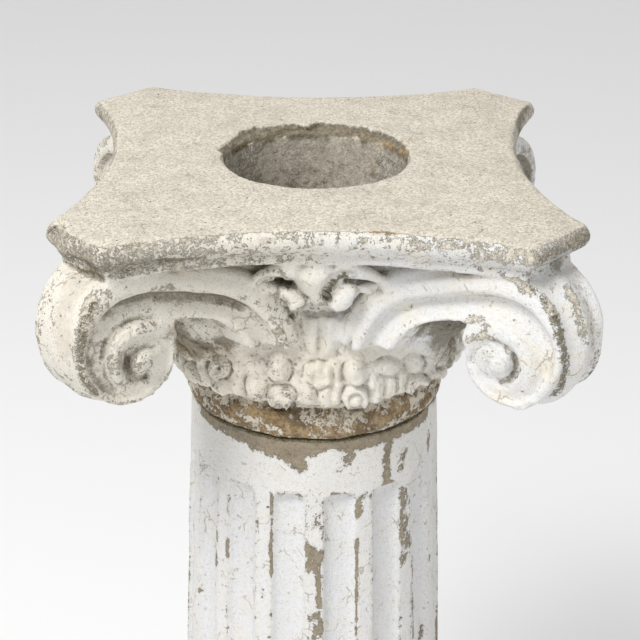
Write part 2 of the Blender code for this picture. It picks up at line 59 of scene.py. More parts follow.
slab_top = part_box("capital")[1].z
camera_data = bpy.data.cameras.new("camera")
camera_data.sensor_fit = "HORIZONTAL"
camera_data.sensor_width = 36.0
camera_data.lens = camera_data.sensor_width * FOCAL_PIXELS / PICTURE_WIDTH
camera_data.clip_end = 60.0
camera = bpy.data.objects.new("camera", camera_data)
bpy.context.scene.collection.objects.link(camera)
yaw_cos, yaw_sin = math.cos(CAMERA_YAW), math.sin(CAMERA_YAW)
pitch_cos, pitch_sin = math.cos(CAMERA_PITCH), math.sin(CAMERA_PITCH)
look = Vector((yaw_sin * pitch_cos, yaw_cos * pitch_cos, -pitch_sin))
right = Vector((yaw_cos, -yaw_sin, 0.0))
up = Vector((yaw_sin * pitch_sin, yaw_cos * pitch_sin, pitch_cos))
stance = Matrix((right, up, -look)).transposed().to_4x4() @ Matrix.Rotation(CAMERA_ROLL, 4, "Z")
spot = Matrix.Translation((0, -CAMERA_AWAY, CAMERA_ABOVE_SLAB))
camera.matrix_world = (
    Matrix.Translation((0, 0, slab_top)) @ Matrix.Rotation(-CAMERA_ROUND, 4, "Z") @ spot @ stance
)
bpy.context.scene.camera = camera

# Base
# A square plinth carrying two rolls with a hollow between them: one hollow casting in cement and
# sand, painted white. It isn't in the photograph, so it is plain, and worn as the shaft is.
PLINTH_HALF_WIDTH = 0.200
PLINTH_HEIGHT = 0.048
PLINTH_CORNER = 70.0
ROLL_FOOT = 0.176
ROLL_REACH = 0.1938
ROLL_TOP = 0.084
LIP_RADIUS = 0.176
HOLLOW_FOOT = 0.088
HOLLOW_RADIUS = 0.1615
HOLLOW_FLARE = 0.012
HOLLOW_TOP = 0.114
UPPER_LIP_TOP = 0.118
UPPER_LIP_RADIUS = 0.1635
UPPER_ROLL_FOOT = 0.1655
UPPER_ROLL_REACH = 0.1758
BASE_TOP = 0.139
BORE_RADIUS = 0.088
BASE_COLUMNS = 288
BASE_SPACING = 0.0042
BASE_STONE = (0.24, 0.20, 0.145), (0.42, 0.37, 0.29)
BASE_PAINT = (0.70, 0.705, 0.71), (0.71, 0.68, 0.61)


def traced(corners, spacing):
    """Points along straight runs between corners, about a spacing apart, keeping each corner."""
    points = []
    for start, end in zip(corners, corners[1:]):
        steps = max(1, round(math.dist(start, end) / spacing))
        points += [tuple(a + (b - a) * i / steps for a, b in zip(start, end)) for i in range(steps)]
    return points


def roll(foot, reach, low, high, steps):
    """The half-round section of a moulding, as (radius, height) corners."""
    turns = [math.pi * i / steps for i in range(steps + 1)]
    middle, half = (low + high) / 2, (high - low) / 2
    return [(foot + (reach - foot) * math.sin(turn), middle - half * math.cos(turn)) for turn in turns]


def wrapped(columns, rows, place):
    """A closed ring: a grid wrapped round the column's axis and round its own section."""
    bm = bmesh.new()
    made = bmesh.ops.create_grid(bm, x_segments=columns, y_segments=rows, size=0.5)
    for vert in made["verts"]:
        across, along = (vert.co.x + 0.5) * columns, (vert.co.y + 0.5) * rows
        vert.co = place(round(across) % columns, round(along) % rows)
    bmesh.ops.remove_doubles(bm, verts=bm.verts, dist=1e-6)
    bmesh.ops.recalc_face_normals(bm, faces=bm.faces)
    return bm


def finished(name, bm):
    mesh = bpy.data.meshes.new(name)
    bm.to_mesh(mesh)
    bm.free()
    mesh.shade_smooth()
    piece = bpy.data.objects.new(name, mesh)
    bpy.context.scene.collection.objects.link(piece)
    return piece


def corners_of(mesh):
    """The mesh's corners, their outward directions and the pairs of corners that its edges join."""
    points = np.empty(len(mesh.vertices) * 3)
    mesh.vertices.foreach_get("co", points)
    outward = np.empty(len(mesh.vertices) * 3, np.float32)
    mesh.vertex_normals.foreach_get("vector", outward)
    pairs = np.empty(len(mesh.edges) * 2, np.int32)
    mesh.edges.foreach_get("vertices", pairs)
    return points.reshape(-1, 3), outward.reshape(-1, 3).astype(float), pairs.reshape(-1, 2)


def set_corners(mesh, points):
    mesh.vertices.foreach_set("co", points.astype(np.float32).ravel())
    mesh.update()


def evened(values, pairs, rounds):
    """Values at the corners after each takes the mean of its neighbours, a number of times."""
    count = np.bincount(pairs.ravel(), minlength=len(values))
    values = values.copy()
    for _ in range(rounds):
        for column in range(values.shape[1]):
            there = np.bincount(pairs[:, 0], values[pairs[:, 1], column], minlength=len(values))
            there += np.bincount(pairs[:, 1], values[pairs[:, 0], column], minlength=len(values))
            values[:, column] = there / count
    return values


def lumps(points, size, seed, octaves=3):
    """Random swelling, about -1 to 1, whose largest lumps have the given size in metres."""
    total = np.zeros(len(points))
    for octave in range(octaves):
        lattice = np.random.default_rng(100 * seed + octave).uniform(-1.0, 1.0, (32, 32, 32))
        place = points / size * 2.1**octave + 500.0
        cell = np.floor(place).astype(int)
        share = place - cell
        share = share * share * (3 - 2 * share)
        for corner in np.ndindex(2, 2, 2):
            weight = np.prod(np.where(corner, share, 1 - share), axis=1)
            i, j, k = ((cell + corner) % 32).T
            total += lattice[i, j, k] * weight * 0.55**octave
    return 1.3 * total


def ramp(values, low, high):
    share = np.clip((values - low) / (high - low), 0.0, 1.0)
    return share * share * (3 - 2 * share)


def edges_and_hollows(mesh, rounds):
    """How far each corner stands out of its evened surroundings: above zero on edges, below in hollows."""
    points, outward, pairs = corners_of(mesh)
    return ((points - evened(points, pairs, rounds)) * outward).sum(1)


def mark(mesh, name, values):
    """Stores a number at each corner of a mesh, for its material to read."""
    layer = mesh.attributes.get(name) or mesh.attributes.new(name, "FLOAT", "POINT")
    layer.data.foreach_set("value", values.astype(np.float32))


def chip(mesh, rounds, reach, size, seed, bite):
    """Wears the edges: rounds them everywhere, and knocks flakes off where the random lumps are high."""
    stand_out = edges_and_hollows(mesh, rounds)
    points, outward, _ = corners_of(mesh)
    edge = ramp(stand_out, 0.15 * reach, reach)
    flake = ramp(lumps(points, size, seed, 4), 0.02, 0.35)
    set_corners(mesh, points - outward * (edge * (0.25 + flake) * bite)[:, None])


class Value:
    """A number that a node gives, so that sums on it add the shader's Math nodes."""

    def __init__(self, finish, socket):
        self.finish = finish
        self.socket = socket

    def maths(self, operation, *others):
        return self.finish.node("ShaderNodeMath", {"operation": operation}, dict(enumerate((self, *others))))

    def __add__(self, other):
        return self.maths("ADD", other)

    def __mul__(self, other):
        return self.maths("MULTIPLY", other)

    def __sub__(self, other):
        return self.maths("SUBTRACT", other)

    def __rsub__(self, other):
        return self.maths("MULTIPLY", -1.0).maths("ADD", other)

    __radd__ = __add__
    __rmul__ = __mul__


class Finish:
    """A material for one piece, built node by node."""

    def __init__(self, name):
        self.material = bpy.data.materials.new(name)
        self.material.use_nodes = True
        self.tree = self.material.node_tree
        self.tree.nodes.clear()

    def node(self, kind, settings=None, sockets=None, output=0):
        node = self.tree.nodes.new(kind)
        for setting, value in (settings or {}).items():
            setattr(node, setting, value)
        for key, value in (sockets or {}).items():
            if isinstance(value, Value):
                self.tree.links.new(value.socket, node.inputs[key])
            else:
                node.inputs[key].default_value = value
        return Value(self, node.outputs[output]) if len(node.outputs) else node

    def read(self, attribute):
        return self.node("ShaderNodeAttribute", {"attribute_name": attribute}, output="Fac")

    def place(self):
        return self.node("ShaderNodeTexCoord", output="Object")

    def grain(self, where, size, detail, roughness, output=0):
        """Cloudy noise from 0 to 1 whose clouds have the given size in metres."""
        sockets = {"Vector": where, "Scale": 1 / size, "Detail": detail, "Roughness": roughness}
        return self.node("ShaderNodeTexNoise", {}, sockets, output)

    def cells(self, where, size, feature="F1", output=0):
        sockets = {"Vector": where, "Scale": 1 / size}
        return self.node("ShaderNodeTexVoronoi", {"feature": feature}, sockets, output)

    def between(self, value, low, high):
        """0 under the low mark, 1 over the high mark, and smooth in between."""
        sockets = {"Value": value, "From Min": low, "From Max": high}
        return self.node("ShaderNodeMapRange", {"interpolation_type": "SMOOTHSTEP"}, sockets)

    def mix(self, share, first, second):
        sockets = {0: share}
        for key, value in ((6, first), (7, second)):
            sockets[key] = value if isinstance(value, Value) else (*value, 1.0)
        return self.node("ShaderNodeMix", {"data_type": "RGBA"}, sockets, output=2)

    def end(self, colour, roughness, height, distance):
        bump = self.node("ShaderNodeBump", {}, {"Height": height, "Distance": distance, "Strength": 1.0})
        sockets = {"Base Color": colour, "Roughness": roughness, "Normal": bump, "Specular IOR Level": 0.25}
        shader = self.node("ShaderNodeBsdfPrincipled", {}, sockets)
        self.node("ShaderNodeOutputMaterial", {}, {"Surface": shader})
        return self.material


CLOUD_SIZE = 0.030
PATCH_SIZE = 0.010
CRUMB_SIZE = 0.0040
SAND_SIZE = 0.0015
SAND_GRAIN = 1 / 520
GRIT_SPACING = 0.0034
AIR_HOLE_SPACING = 0.0125
CRACK_SPACING = 0.023
CRACK_WAVER = 0.012
CRACK_WAVER_SIZE = 1 / 90
GRIT_COLOUR = (0.16, 0.13, 0.09)
AIR_HOLE_DIRT_AND_SHADE_COLOUR = (0.10, 0.085, 0.065)
WASHED_COLOUR = (0.40, 0.37, 0.31)
CRACK_COLOUR = (0.25, 0.21, 0.16)
FLAKE_RIM_DIRT_AND_SHADE_COLOUR = (0.17, 0.14, 0.095)
DIRT_AND_SHADE_COLOURS = (0.110, 0.090, 0.058), (0.225, 0.195, 0.140)
RUST_COLOURS = (0.15, 0.088, 0.032), (0.42, 0.29, 0.145)
CRUST_AND_SHADE_COLOURS = (0.065, 0.052, 0.022), (0.24, 0.20, 0.11)
RELIEF_HEIGHT = 0.0012


def painted_stone(name, stone_dark, stone_light, paint_cool, paint_warm):
    """Sandy cast stone under flaking white paint. The piece's marks say how much paint is left, and
    where grime, ochre stain and dark lichen lie; the grime and lichen marks also carry painted
    shade, drawn in the dirt and crust colours."""
    finish = Finish(name)
    where = finish.place()
    marks = ("paint", "grime_and_shade", "ochre", "lichen_and_shade", "warmth")
    paint_left, grime_and_shade, ochre, lichen_and_shade, warmth = (finish.read(each) for each in marks)
    clouds = finish.grain(where, CLOUD_SIZE, 5.0, 0.62)
    patches = finish.grain(where, PATCH_SIZE, 7.0, 0.70)
    crumbs = finish.grain(where, CRUMB_SIZE, 4.0, 0.72)
    sand = finish.grain(where, SAND_SIZE, 2.0, 0.7)
    off_patches, off_crumbs, off_sand = patches - 0.5, crumbs - 0.5, sand - 0.5

    sandy = 0.35 * finish.cells(where, SAND_GRAIN, output=1) + 0.65 * sand + 0.4 * off_crumbs
    bare = finish.mix(finish.between(sandy, 0.25, 0.68), stone_dark, stone_light)
    bare = finish.mix(finish.between(clouds, 0.35, 0.65) * 0.3, bare, stone_dark)
    grit = finish.between(finish.cells(where, GRIT_SPACING), 0.27, 0.15) * finish.between(patches, 0.44, 0.58)
    bare = finish.mix(grit * 0.5, bare, GRIT_COLOUR)
    # Air holes are coloured dark: dirt in them, and painted shade inside them.
    holes = finish.between(finish.cells(where, AIR_HOLE_SPACING), 0.10, 0.055)
    holes = holes * finish.between(patches, 0.46, 0.58)
    bare = finish.mix(holes * 0.85, bare, AIR_HOLE_DIRT_AND_SHADE_COLOUR)

    paint = finish.mix(finish.between(clouds + 0.4 * off_patches, 0.42, 0.76), paint_cool, paint_warm)
    paint = finish.mix(warmth, paint, paint_warm)
    paint = finish.mix(finish.between(0.5 * (crumbs + sand), 0.51, 0.62) * 0.36, paint, WASHED_COLOUR)
    waver = finish.grain(where, CRACK_WAVER_SIZE, 4.0, 0.5, output=1)
    sockets = {0: waver, 1: (CRACK_WAVER,) * 3, 2: where}
    wavering = finish.node("ShaderNodeVectorMath", {"operation": "MULTIPLY_ADD"}, sockets)
    cracks = finish.between(finish.cells(wavering, CRACK_SPACING, "DISTANCE_TO_EDGE"), 0.022, 0.006)
    cracks = cracks * finish.between(clouds + 0.7 * off_patches, 0.56, 0.62)
    paint = finish.mix(cracks * 0.4, paint, CRACK_COLOUR)
    flaked = paint_left + 1.5 * off_patches + 1.2 * off_crumbs + 0.5 * off_sand
    coat = 0.15 * finish.between(flaked, 0.25, 0.75) + 0.85 * finish.between(flaked, 0.46, 0.54)
    colour = finish.mix(coat, bare, paint)
    # A dark line on the bare side of each flake's edge: dirt, and a painted shadow of the paint's edge.
    rim = finish.between(flaked, 0.30, 0.44) * finish.between(flaked, 0.55, 0.49)
    colour = finish.mix(rim * 0.36, colour, FLAKE_RIM_DIRT_AND_SHADE_COLOUR)

    # The dirt colour goes where the grime mark is high; that mark holds real dirt and painted shade.
    dirty_and_shaded = grime_and_shade + 0.25 * (1 - coat) + 0.9 * off_patches + 0.8 * off_crumbs + 0.6 * off_sand
    dirt_and_shade = finish.mix(finish.between(crumbs, 0.4, 0.62), *DIRT_AND_SHADE_COLOURS)
    colour = finish.mix(finish.between(dirty_and_shaded, 0.30, 0.92) * 0.9, colour, dirt_and_shade)
    stained = finish.between(ochre + 0.9 * off_patches + 0.7 * off_crumbs, 0.34, 0.66) * (1 - 0.72 * coat)
    rust = finish.mix(finish.between(clouds + 0.8 * off_crumbs, 0.40, 0.62), *RUST_COLOURS)
    colour = finish.mix(stained * 0.9, colour, rust)
    # The crust colour marks lichen, and also paints shadow lines where the lichen mark is set for them.
    crust_and_shade = finish.between(lichen_and_shade + 1.3 * off_crumbs + 0.8 * off_patches + 0.8 * off_sand, 0.42, 0.62)
    colour = finish.mix(crust_and_shade * 0.88, colour, finish.mix(finish.between(sand, 0.42, 0.6), *CRUST_AND_SHADE_COLOURS))

    height = 0.7 * sand + 0.7 * crumbs - 1.6 * holes + 0.9 * coat + 0.6 * crust_and_shade + 0.5 * patches - 0.5 * cracks
    return finish.end(colour, 0.92 - 0.28 * coat, height, RELIEF_HEIGHT)


def base_section():
    corners = [(BORE_RADIUS, BASE_TOP), (BORE_RADIUS, 0.0), (PLINTH_HALF_WIDTH, 0.0)]
    corners += [(PLINTH_HALF_WIDTH, PLINTH_HEIGHT), (ROLL_FOOT, PLINTH_HEIGHT)]
    corners += roll(ROLL_FOOT, ROLL_REACH, PLINTH_HEIGHT, ROLL_TOP, 10)
    corners += [(LIP_RADIUS, ROLL_TOP), (LIP_RADIUS, HOLLOW_FOOT)]
    for share in (0.06, 0.2, 0.4, 0.6, 0.8, 0.94):
        flare = HOLLOW_FLARE * (1 - math.sin(math.pi * share)) * (1 - share)
        corners.append((HOLLOW_RADIUS + flare, HOLLOW_FOOT + share * (HOLLOW_TOP - HOLLOW_FOOT)))
    corners += [(UPPER_LIP_RADIUS, HOLLOW_TOP), (UPPER_LIP_RADIUS, UPPER_LIP_TOP)]
    corners += roll(UPPER_ROLL_FOOT, UPPER_ROLL_REACH, UPPER_LIP_TOP, BASE_TOP, 8)
    corners.append((BORE_RADIUS, BASE_TOP))
    return traced(corners, BASE_SPACING)


section = base_section()


def base_place(column, row):
    radius, height = section[row]
    turn = 2 * math.pi * column / BASE_COLUMNS
    if height <= PLINTH_HEIGHT and radius > ROLL_FOOT:
        sides = abs(math.cos(turn)) ** PLINTH_CORNER + abs(math.sin(turn)) ** PLINTH_CORNER
        square = sides ** (-1 / PLINTH_CORNER)
        share = (radius - ROLL_FOOT) / (PLINTH_HALF_WIDTH - ROLL_FOOT)
        radius = ROLL_FOOT + (PLINTH_HALF_WIDTH * square - ROLL_FOOT) * share
    return radius * math.cos(turn), radius * math.sin(turn), height


base = finished("base_casting", wrapped(BASE_COLUMNS, len(section), base_place))
chip(base.data, rounds=6, reach=0.0016, size=0.045, seed=3, bite=0.0022)
points, outward, pairs = corners_of(base.data)
points = points - outward * (0.0005 * (1 + lumps(points, 0.05, 5)))[:, None]
points[:, 2] = np.clip(points[:, 2], 0.0, BASE_TOP)
set_corners(base.data, points)
stand_out = edges_and_hollows(base.data, 10)
splashed, damp, wet = (1 - ramp(points[:, 2] / BASE_TOP, 0.0, share) for share in (0.3, 0.25, 0.12))
mark(base.data, "paint", 0.98 - 0.50 * ramp(stand_out, 0.0004, 0.0020) - 0.28 * splashed)
# The grime mark darkens the hollows, partly as painted shade, and the foot.
mark(base.data, "grime_and_shade", 0.15 + 0.45 * ramp(-stand_out, 0.0002, 0.0018) + 0.25 * wet)
mark(base.data, "ochre", 0.06 + 0.10 * lumps(points, 0.09, 8))
mark(base.data, "lichen_and_shade", 0.05 + 0.25 * damp * ramp(lumps(points, 0.06, 9), 0.0, 0.5))
mark(base.data, "warmth", 0.4 + 0.3 * lumps(points, 0.12, 4))
base.data.materials.append(painted_stone("base_paint", *BASE_STONE, *BASE_PAINT))
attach(base, "root")
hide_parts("base")

# Shaft
# A hollow fluted casting that stands on the base by its own weight. The flutes end in flat arches,
# a mould seam runs down the front, and the white paint has peeled in patches and along the edges.
SHAFT_FOOT = 0.1393
SHAFT_HEIGHT = 0.780
SHAFT_TOP = SHAFT_FOOT + SHAFT_HEIGHT
SHAFT_FOOT_RADIUS = 0.150
SHAFT_NECK_RADIUS = 0.1245
SHAFT_SWELL = 1.5
FOOT_BAND_HEIGHT = 0.012
FOOT_BAND_PROUD = 0.011
FOOT_CURVE_HEIGHT = 0.020
FLUTES = 16
FLUTE_SHARE = 0.63
FLUTE_DEPTH = 0.0085
FLUTE_FOOT_MARGIN = 0.055
FLUTE_NECK_MARGIN = 0.059
FLUTE_CORNER = 0.70
FLUTE_FLATNESS = 2.3
SHAFT_COLUMNS = FLUTES * 28
SEAM_TURN = math.radians(-90 - 28.5)
SEAM_RISE = 0.0009
SEAM_FADE = 0.35
COARSE_SPACING, MIDDLE_SPACING, FINE_SPACING = 0.0085, 0.0042, 0.0015
TOP_SPACING, BORE_SPACING, FOOT_SPACING = 0.006, 0.03, 0.012
FLUTE_ARCH = 0.008
SEEN_BELOW_NECK = 0.25
PEEL_SPREAD = 1.25
SHAFT_STONE = (0.25, 0.205, 0.145), (0.39, 0.335, 0.25)
SHAFT_PAINT = (0.72, 0.725, 0.74), (0.73, 0.71, 0.66)


def shaft_radius(height):
    share = (height - SHAFT_FOOT) / SHAFT_HEIGHT
    plain = SHAFT_FOOT_RADIUS - (SHAFT_FOOT_RADIUS - SHAFT_NECK_RADIUS) * share**SHAFT_SWELL
    above_band = height - SHAFT_FOOT - FOOT_BAND_HEIGHT
    if above_band < FOOT_CURVE_HEIGHT:
        sweep = min(1 - max(above_band, 0.0) / FOOT_CURVE_HEIGHT, 1.0)
        plain += FOOT_BAND_PROUD * (1 - math.sqrt(1 - sweep**2))
    return plain


def flute_hollow(turn, height):
    """Depth of the flutes at a place: flat hollows with steep sides and flat-arched ends."""
    pitch = 2 * math.pi / FLUTES
    side = ((turn + math.pi / 2) / pitch) % 1.0 - 0.5
    radius = shaft_radius(height)
    half = pitch * FLUTE_SHARE / 2 * radius
    corner = FLUTE_CORNER * half
    low, high = SHAFT_FOOT + FLUTE_FOOT_MARGIN, SHAFT_TOP - FLUTE_NECK_MARGIN
    off_side = abs(side) * pitch * radius - (half - corner)
    off_end = abs(height - (low + high) / 2) - ((high - low) / 2 - corner)
    outside = math.hypot(max(off_side, 0.0), max(off_end, 0.0)) + min(max(off_side, off_end), 0.0) - corner
    inside = min(max(-outside / half, 0.0), 1.0)
    return FLUTE_DEPTH * (1 - (1 - inside) ** FLUTE_FLATNESS) ** (1 / FLUTE_FLATNESS)


def seam_step(turn, height):
    """The casting stands a little prouder on one side of the mould's seam."""
    past = (turn - SEAM_TURN + math.pi) % (2 * math.pi) - math.pi
    if past < 0:
        return 0.0
    return SEAM_RISE * math.exp(-past / SEAM_FADE)


def shaft_section():
    """The shaft's section, with its rows closest together where the flutes end."""
    heights = [SHAFT_FOOT, SHAFT_FOOT + FINE_SPACING]
    flute_foot = SHAFT_FOOT + FLUTE_FOOT_MARGIN
    flute_top = SHAFT_TOP - FLUTE_NECK_MARGIN
    height = heights[-1]
    while height < SHAFT_TOP - 0.002:
        near_end = min(abs(height - flute_foot - FLUTE_ARCH), abs(height - flute_top + FLUTE_ARCH))
        if near_end < 2 * FLUTE_ARCH:
            height += FINE_SPACING
        elif height > flute_top - SEEN_BELOW_NECK or height < SHAFT_FOOT + 0.05:
            height += MIDDLE_SPACING
        else:
            height += COARSE_SPACING
        heights.append(min(height, SHAFT_TOP - FINE_SPACING))
    heights.append(SHAFT_TOP)
    wall = [(shaft_radius(h), h) for h in heights]
    top = traced([(SHAFT_NECK_RADIUS, SHAFT_TOP), (BORE_RADIUS, SHAFT_TOP)], TOP_SPACING)[1:]
    bore = traced([(BORE_RADIUS, SHAFT_TOP), (BORE_RADIUS, SHAFT_FOOT)], BORE_SPACING)
    foot_reach = SHAFT_FOOT_RADIUS + FOOT_BAND_PROUD
    foot = traced([(BORE_RADIUS, SHAFT_FOOT), (foot_reach, SHAFT_FOOT)], FOOT_SPACING)
    return wall + top + bore + foot


section = shaft_section()


def shaft_place(column, row):
    radius, height = section[row]
    turn = 2 * math.pi * column / SHAFT_COLUMNS
    if radius > shaft_radius(height) - 0.001:
        radius += seam_step(turn, height) - flute_hollow(turn, height)
        radius -= 0.0010 * (height in (SHAFT_FOOT, SHAFT_TOP))
    return radius * math.cos(turn), radius * math.sin(turn), height


shaft = finished("shaft_casting", wrapped(SHAFT_COLUMNS, len(section), shaft_place))
points, outward, pairs = corners_of(shaft.data)
on_outside = ramp(np.hypot(points[:, 0], points[:, 1]), 0.095, 0.108)
rough = lumps(points, 0.030, 12, 4)
level = np.abs(points[:, 2] - (SHAFT_FOOT + SHAFT_TOP) / 2) < SHAFT_HEIGHT / 2 - 0.0012
points = points + outward * (0.00045 * rough * on_outside * level)[:, None]
set_corners(shaft.data, points)
chip(shaft.data, rounds=4, reach=0.0010, size=0.018, seed=14, bite=0.0010)
points, outward, pairs = corners_of(shaft.data)
points[:, 2] = np.clip(points[:, 2], SHAFT_FOOT, SHAFT_TOP)
set_corners(shaft.data, points)
camera_place = camera.matrix_world.translation
camera_turn = camera.matrix_world.to_3x3()


def sight_to(x, y):
    """The way from the camera through a picture point."""
    half = PICTURE_WIDTH / 2
    return (camera_turn @ Vector(((x - half) / FOCAL_PIXELS, (half - y) / FOCAL_PIXELS, -1.0))).normalized()


def forms_of(mesh):
    """The mesh as a tree that sight lines and rays can be cast on."""
    bm = bmesh.new()
    bm.from_mesh(mesh)
    forms = BVHTree.FromBMesh(bm)
    bm.free()
    return forms


def along(points, forms, path, half_width):
    """1 on a path given by picture points on a piece, falling to 0 half_width millimetres away."""
    places = [forms.ray_cast(camera_place, sight_to(x, y))[0] for x, y in path]
    places = [np.array(place) for place in places if place]
    reach = half_width * 0.001
    share = np.zeros(len(points))
    if not places:
        return share
    inside = (points > np.min(places, 0) - reach) & (points < np.max(places, 0) + reach)
    near = np.nonzero(np.all(inside, axis=1))[0]
    nearest = np.full(len(near), 1.0)
    for start, end in zip(places, places[1:] or places):
        run = end - start
        part = np.clip((points[near] - start) @ run / max(run @ run, 1e-12), 0, 1)
        nearest = np.minimum(nearest, np.linalg.norm(points[near] - start - part[:, None] * run, axis=1))
    share[near] = np.clip(1 - (nearest / reach) ** 2, 0, 1)
    return share


def strongest(points, forms, rows, spread=1.0):
    """The most that any of the rows gives: a path of picture points, its half width and an amount."""
    total = np.zeros(len(points))
    for path, half_width, amount in rows:
        total = np.maximum(total, amount * along(points, forms, path, spread * half_width))
    return total


# Where the paint has peeled off the shaft: picture points, half width in millimetres, how much
PEELED = (
    (((255, 443), (275, 448), (296, 450), (317, 446)), 10, 1.0),
    (((284, 452), (296, 458), (299, 465)), 10, 1.0),
    (((203, 412), (214, 424), (232, 434), (251, 441), (275, 445), (320, 447)), 6, 0.8),
    (((322, 446), (359, 446), (384, 438), (409, 428), (426, 413)), 6, 0.8),
    (((390, 441), (386, 462), (387, 482)), 6, 0.75),
    (((351, 455), (341, 469)), 6, 0.5),
    (((405, 489), (405, 520), (406, 558)), 7, 0.75),
    (((412, 556), (412.5, 600), (413, 638)), 2.6, 0.8),
    (((365, 495), (358, 513)), 6, 0.65),
    (((356, 540), (355.5, 590), (355, 634)), 2.4, 0.8),
    (((311, 550), (318, 557), (313, 569)), 7, 0.85),
    (((317, 570), (318, 607)), 3.5, 0.8),
    (((314, 616), (318, 628), (314, 638)), 6, 0.85),
    (((316, 516), (315, 528)), 5, 0.5),
    (((215, 547), (216, 563)), 3, 0.8),
    (((227, 541), (227, 556)), 2.5, 0.7),
    (((201, 590),), 4, 0.9),
    (((254, 588), (254, 600)), 2.5, 0.8),
    (((263, 588), (262, 598)), 2.5, 0.8),
    (((271.5, 492), (271.5, 575)), 2.2, 0.6),
    (((421, 626), (420, 638)), 5.5, 0.75),
    (((436, 620), (437, 638)), 3.5, 0.8),
    (((430, 556),), 3.5, 0.8),
    (((405, 450), (400, 468)), 6, 0.5),
    (((428, 432), (428, 450)), 5, 0.5),
    (((280, 495), (300, 496)), 3, 0.4),
    (((333, 494), (352, 497)), 3, 0.5),
)
SPECKS = ((((268, 507),), 2.2, 1.0), (((399.5, 582),), 3.0, 0.75), (((261, 485), (271, 493)), 5, 0.35))
forms = forms_of(shaft.data)
stand_out = edges_and_hollows(shaft.data, 6)
peeled = strongest(points, forms, PEELED, PEEL_SPREAD)
under_ring = ramp(points[:, 2], SHAFT_TOP - 0.030, SHAFT_TOP - 0.004) * on_outside
rear = ramp(points[:, 1], -0.02, 0.05)
peeled = np.maximum(peeled, 0.9 * rear * ramp(under_ring + 0.8 * lumps(points, 0.07, 15, 2), 0.5, 1.0))
streaks = ramp(lumps(points * (1, 1, 0.25), 0.035, 16, 3), 0.15, 0.7) * on_outside
neck = ramp(points[:, 2], SHAFT_TOP - 0.075, SHAFT_TOP - 0.040) * on_outside
to_right = ramp(points[:, 0], -0.06, 0.05)
paint = 1.16 - 0.42 * ramp(stand_out, 0.0001, 0.0007) - 0.92 * peeled - 0.30 * streaks * (0.4 + 0.6 * rear)
paint -= 0.20 * neck * (0.4 + 0.6 * to_right)
mark(shaft.data, "paint", paint * on_outside + 0.2 * (1 - on_outside))
# The flute corners get grime that is partly painted shade, to deepen the flutes' edges.
grime_and_shade = 0.06 + 0.42 * ramp(-stand_out, 0.0002, 0.0010) + 0.3 * (1 - on_outside) + 0.10 * peeled + 0.08 * neck
mark(shaft.data, "grime_and_shade", grime_and_shade)
mark(shaft.data, "ochre", 0.03 + 0.06 * lumps(points, 0.09, 8))
# A painted shadow in the shaft's top few millimetres, under the ring's overhang, carried in the lichen mark.
painted_joint_shadow = ramp(points[:, 2], SHAFT_TOP - 0.004, SHAFT_TOP - 0.0005)
mark(shaft.data, "lichen_and_shade", strongest(points, forms, SPECKS) + 0.8 * painted_joint_shadow)
mark(shaft.data, "warmth", 0.10 + 0.5 * ramp(stand_out, -0.0003, 0.0005) + 0.4 * neck)
shaft.data.materials.append(painted_stone("shaft_paint", *SHAFT_STONE, *SHAFT_PAINT))
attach(shaft, "root")
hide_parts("shaft")

# Capital
# One hollow casting: the slab with hollow sides and cut corners, four corner scrolls, a curled leaf
# under each side, a garland round the bell and a ring at the foot. Bare and sandy on top, painted
# below, it rests on the shaft by its own weight.
CAPITAL_FOOT, CAPITAL_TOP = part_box("capital")[0].z, slab_top
SLAB_HALF_WIDTH = 0.230
SLAB_HORN_HALF_WIDTH = 0.176
SLAB_SIDE_SAG = 0.038
SLAB_SIDE_MIDDLE = SLAB_HALF_WIDTH - SLAB_SIDE_SAG
SLAB_ROLL_BULGE = 0.0042
SLAB_SIDE_STEPS = 84
SLAB_CORNER_STEPS = 16
SLAB_COLUMNS = 4 * (SLAB_SIDE_STEPS + SLAB_CORNER_STEPS)
ROLL_HEIGHT = 0.026
FILLET_HEIGHT = 0.011
SLAB_UNDERSIDE = CAPITAL_TOP - ROLL_HEIGHT - FILLET_HEIGHT
RING_HEIGHT = 0.030
RING_RADIUS = 0.1296
RING_FOOT_RADIUS = 0.1250
COVE_HEIGHT = 0.012
COVE_RADIUS = 0.1230
BELL_FOOT = CAPITAL_FOOT + RING_HEIGHT + COVE_HEIGHT
BELL_TOP_RADIUS = 0.160
BELL_STEP = 0.004
WEB_TOP_RADIUS = 0.2225
WEB_STEEPNESS = 6.0
BORE_STEP = 0.006
VOXEL = 0.0015
CAPITAL_TRIANGLES = 160000
HOLE_REACH = 0.125
HOLE_DEPTH = 0.07
HOLE_EDGE = 0.009
HOLE_CUTS = 6
CAPITAL_SIDE_LIMIT = 0.2448
CAPITAL_STONE = (0.42, 0.38, 0.305), (0.76, 0.71, 0.61)
CAPITAL_PAINT = (0.73, 0.735, 0.74), (0.75, 0.705, 0.61)


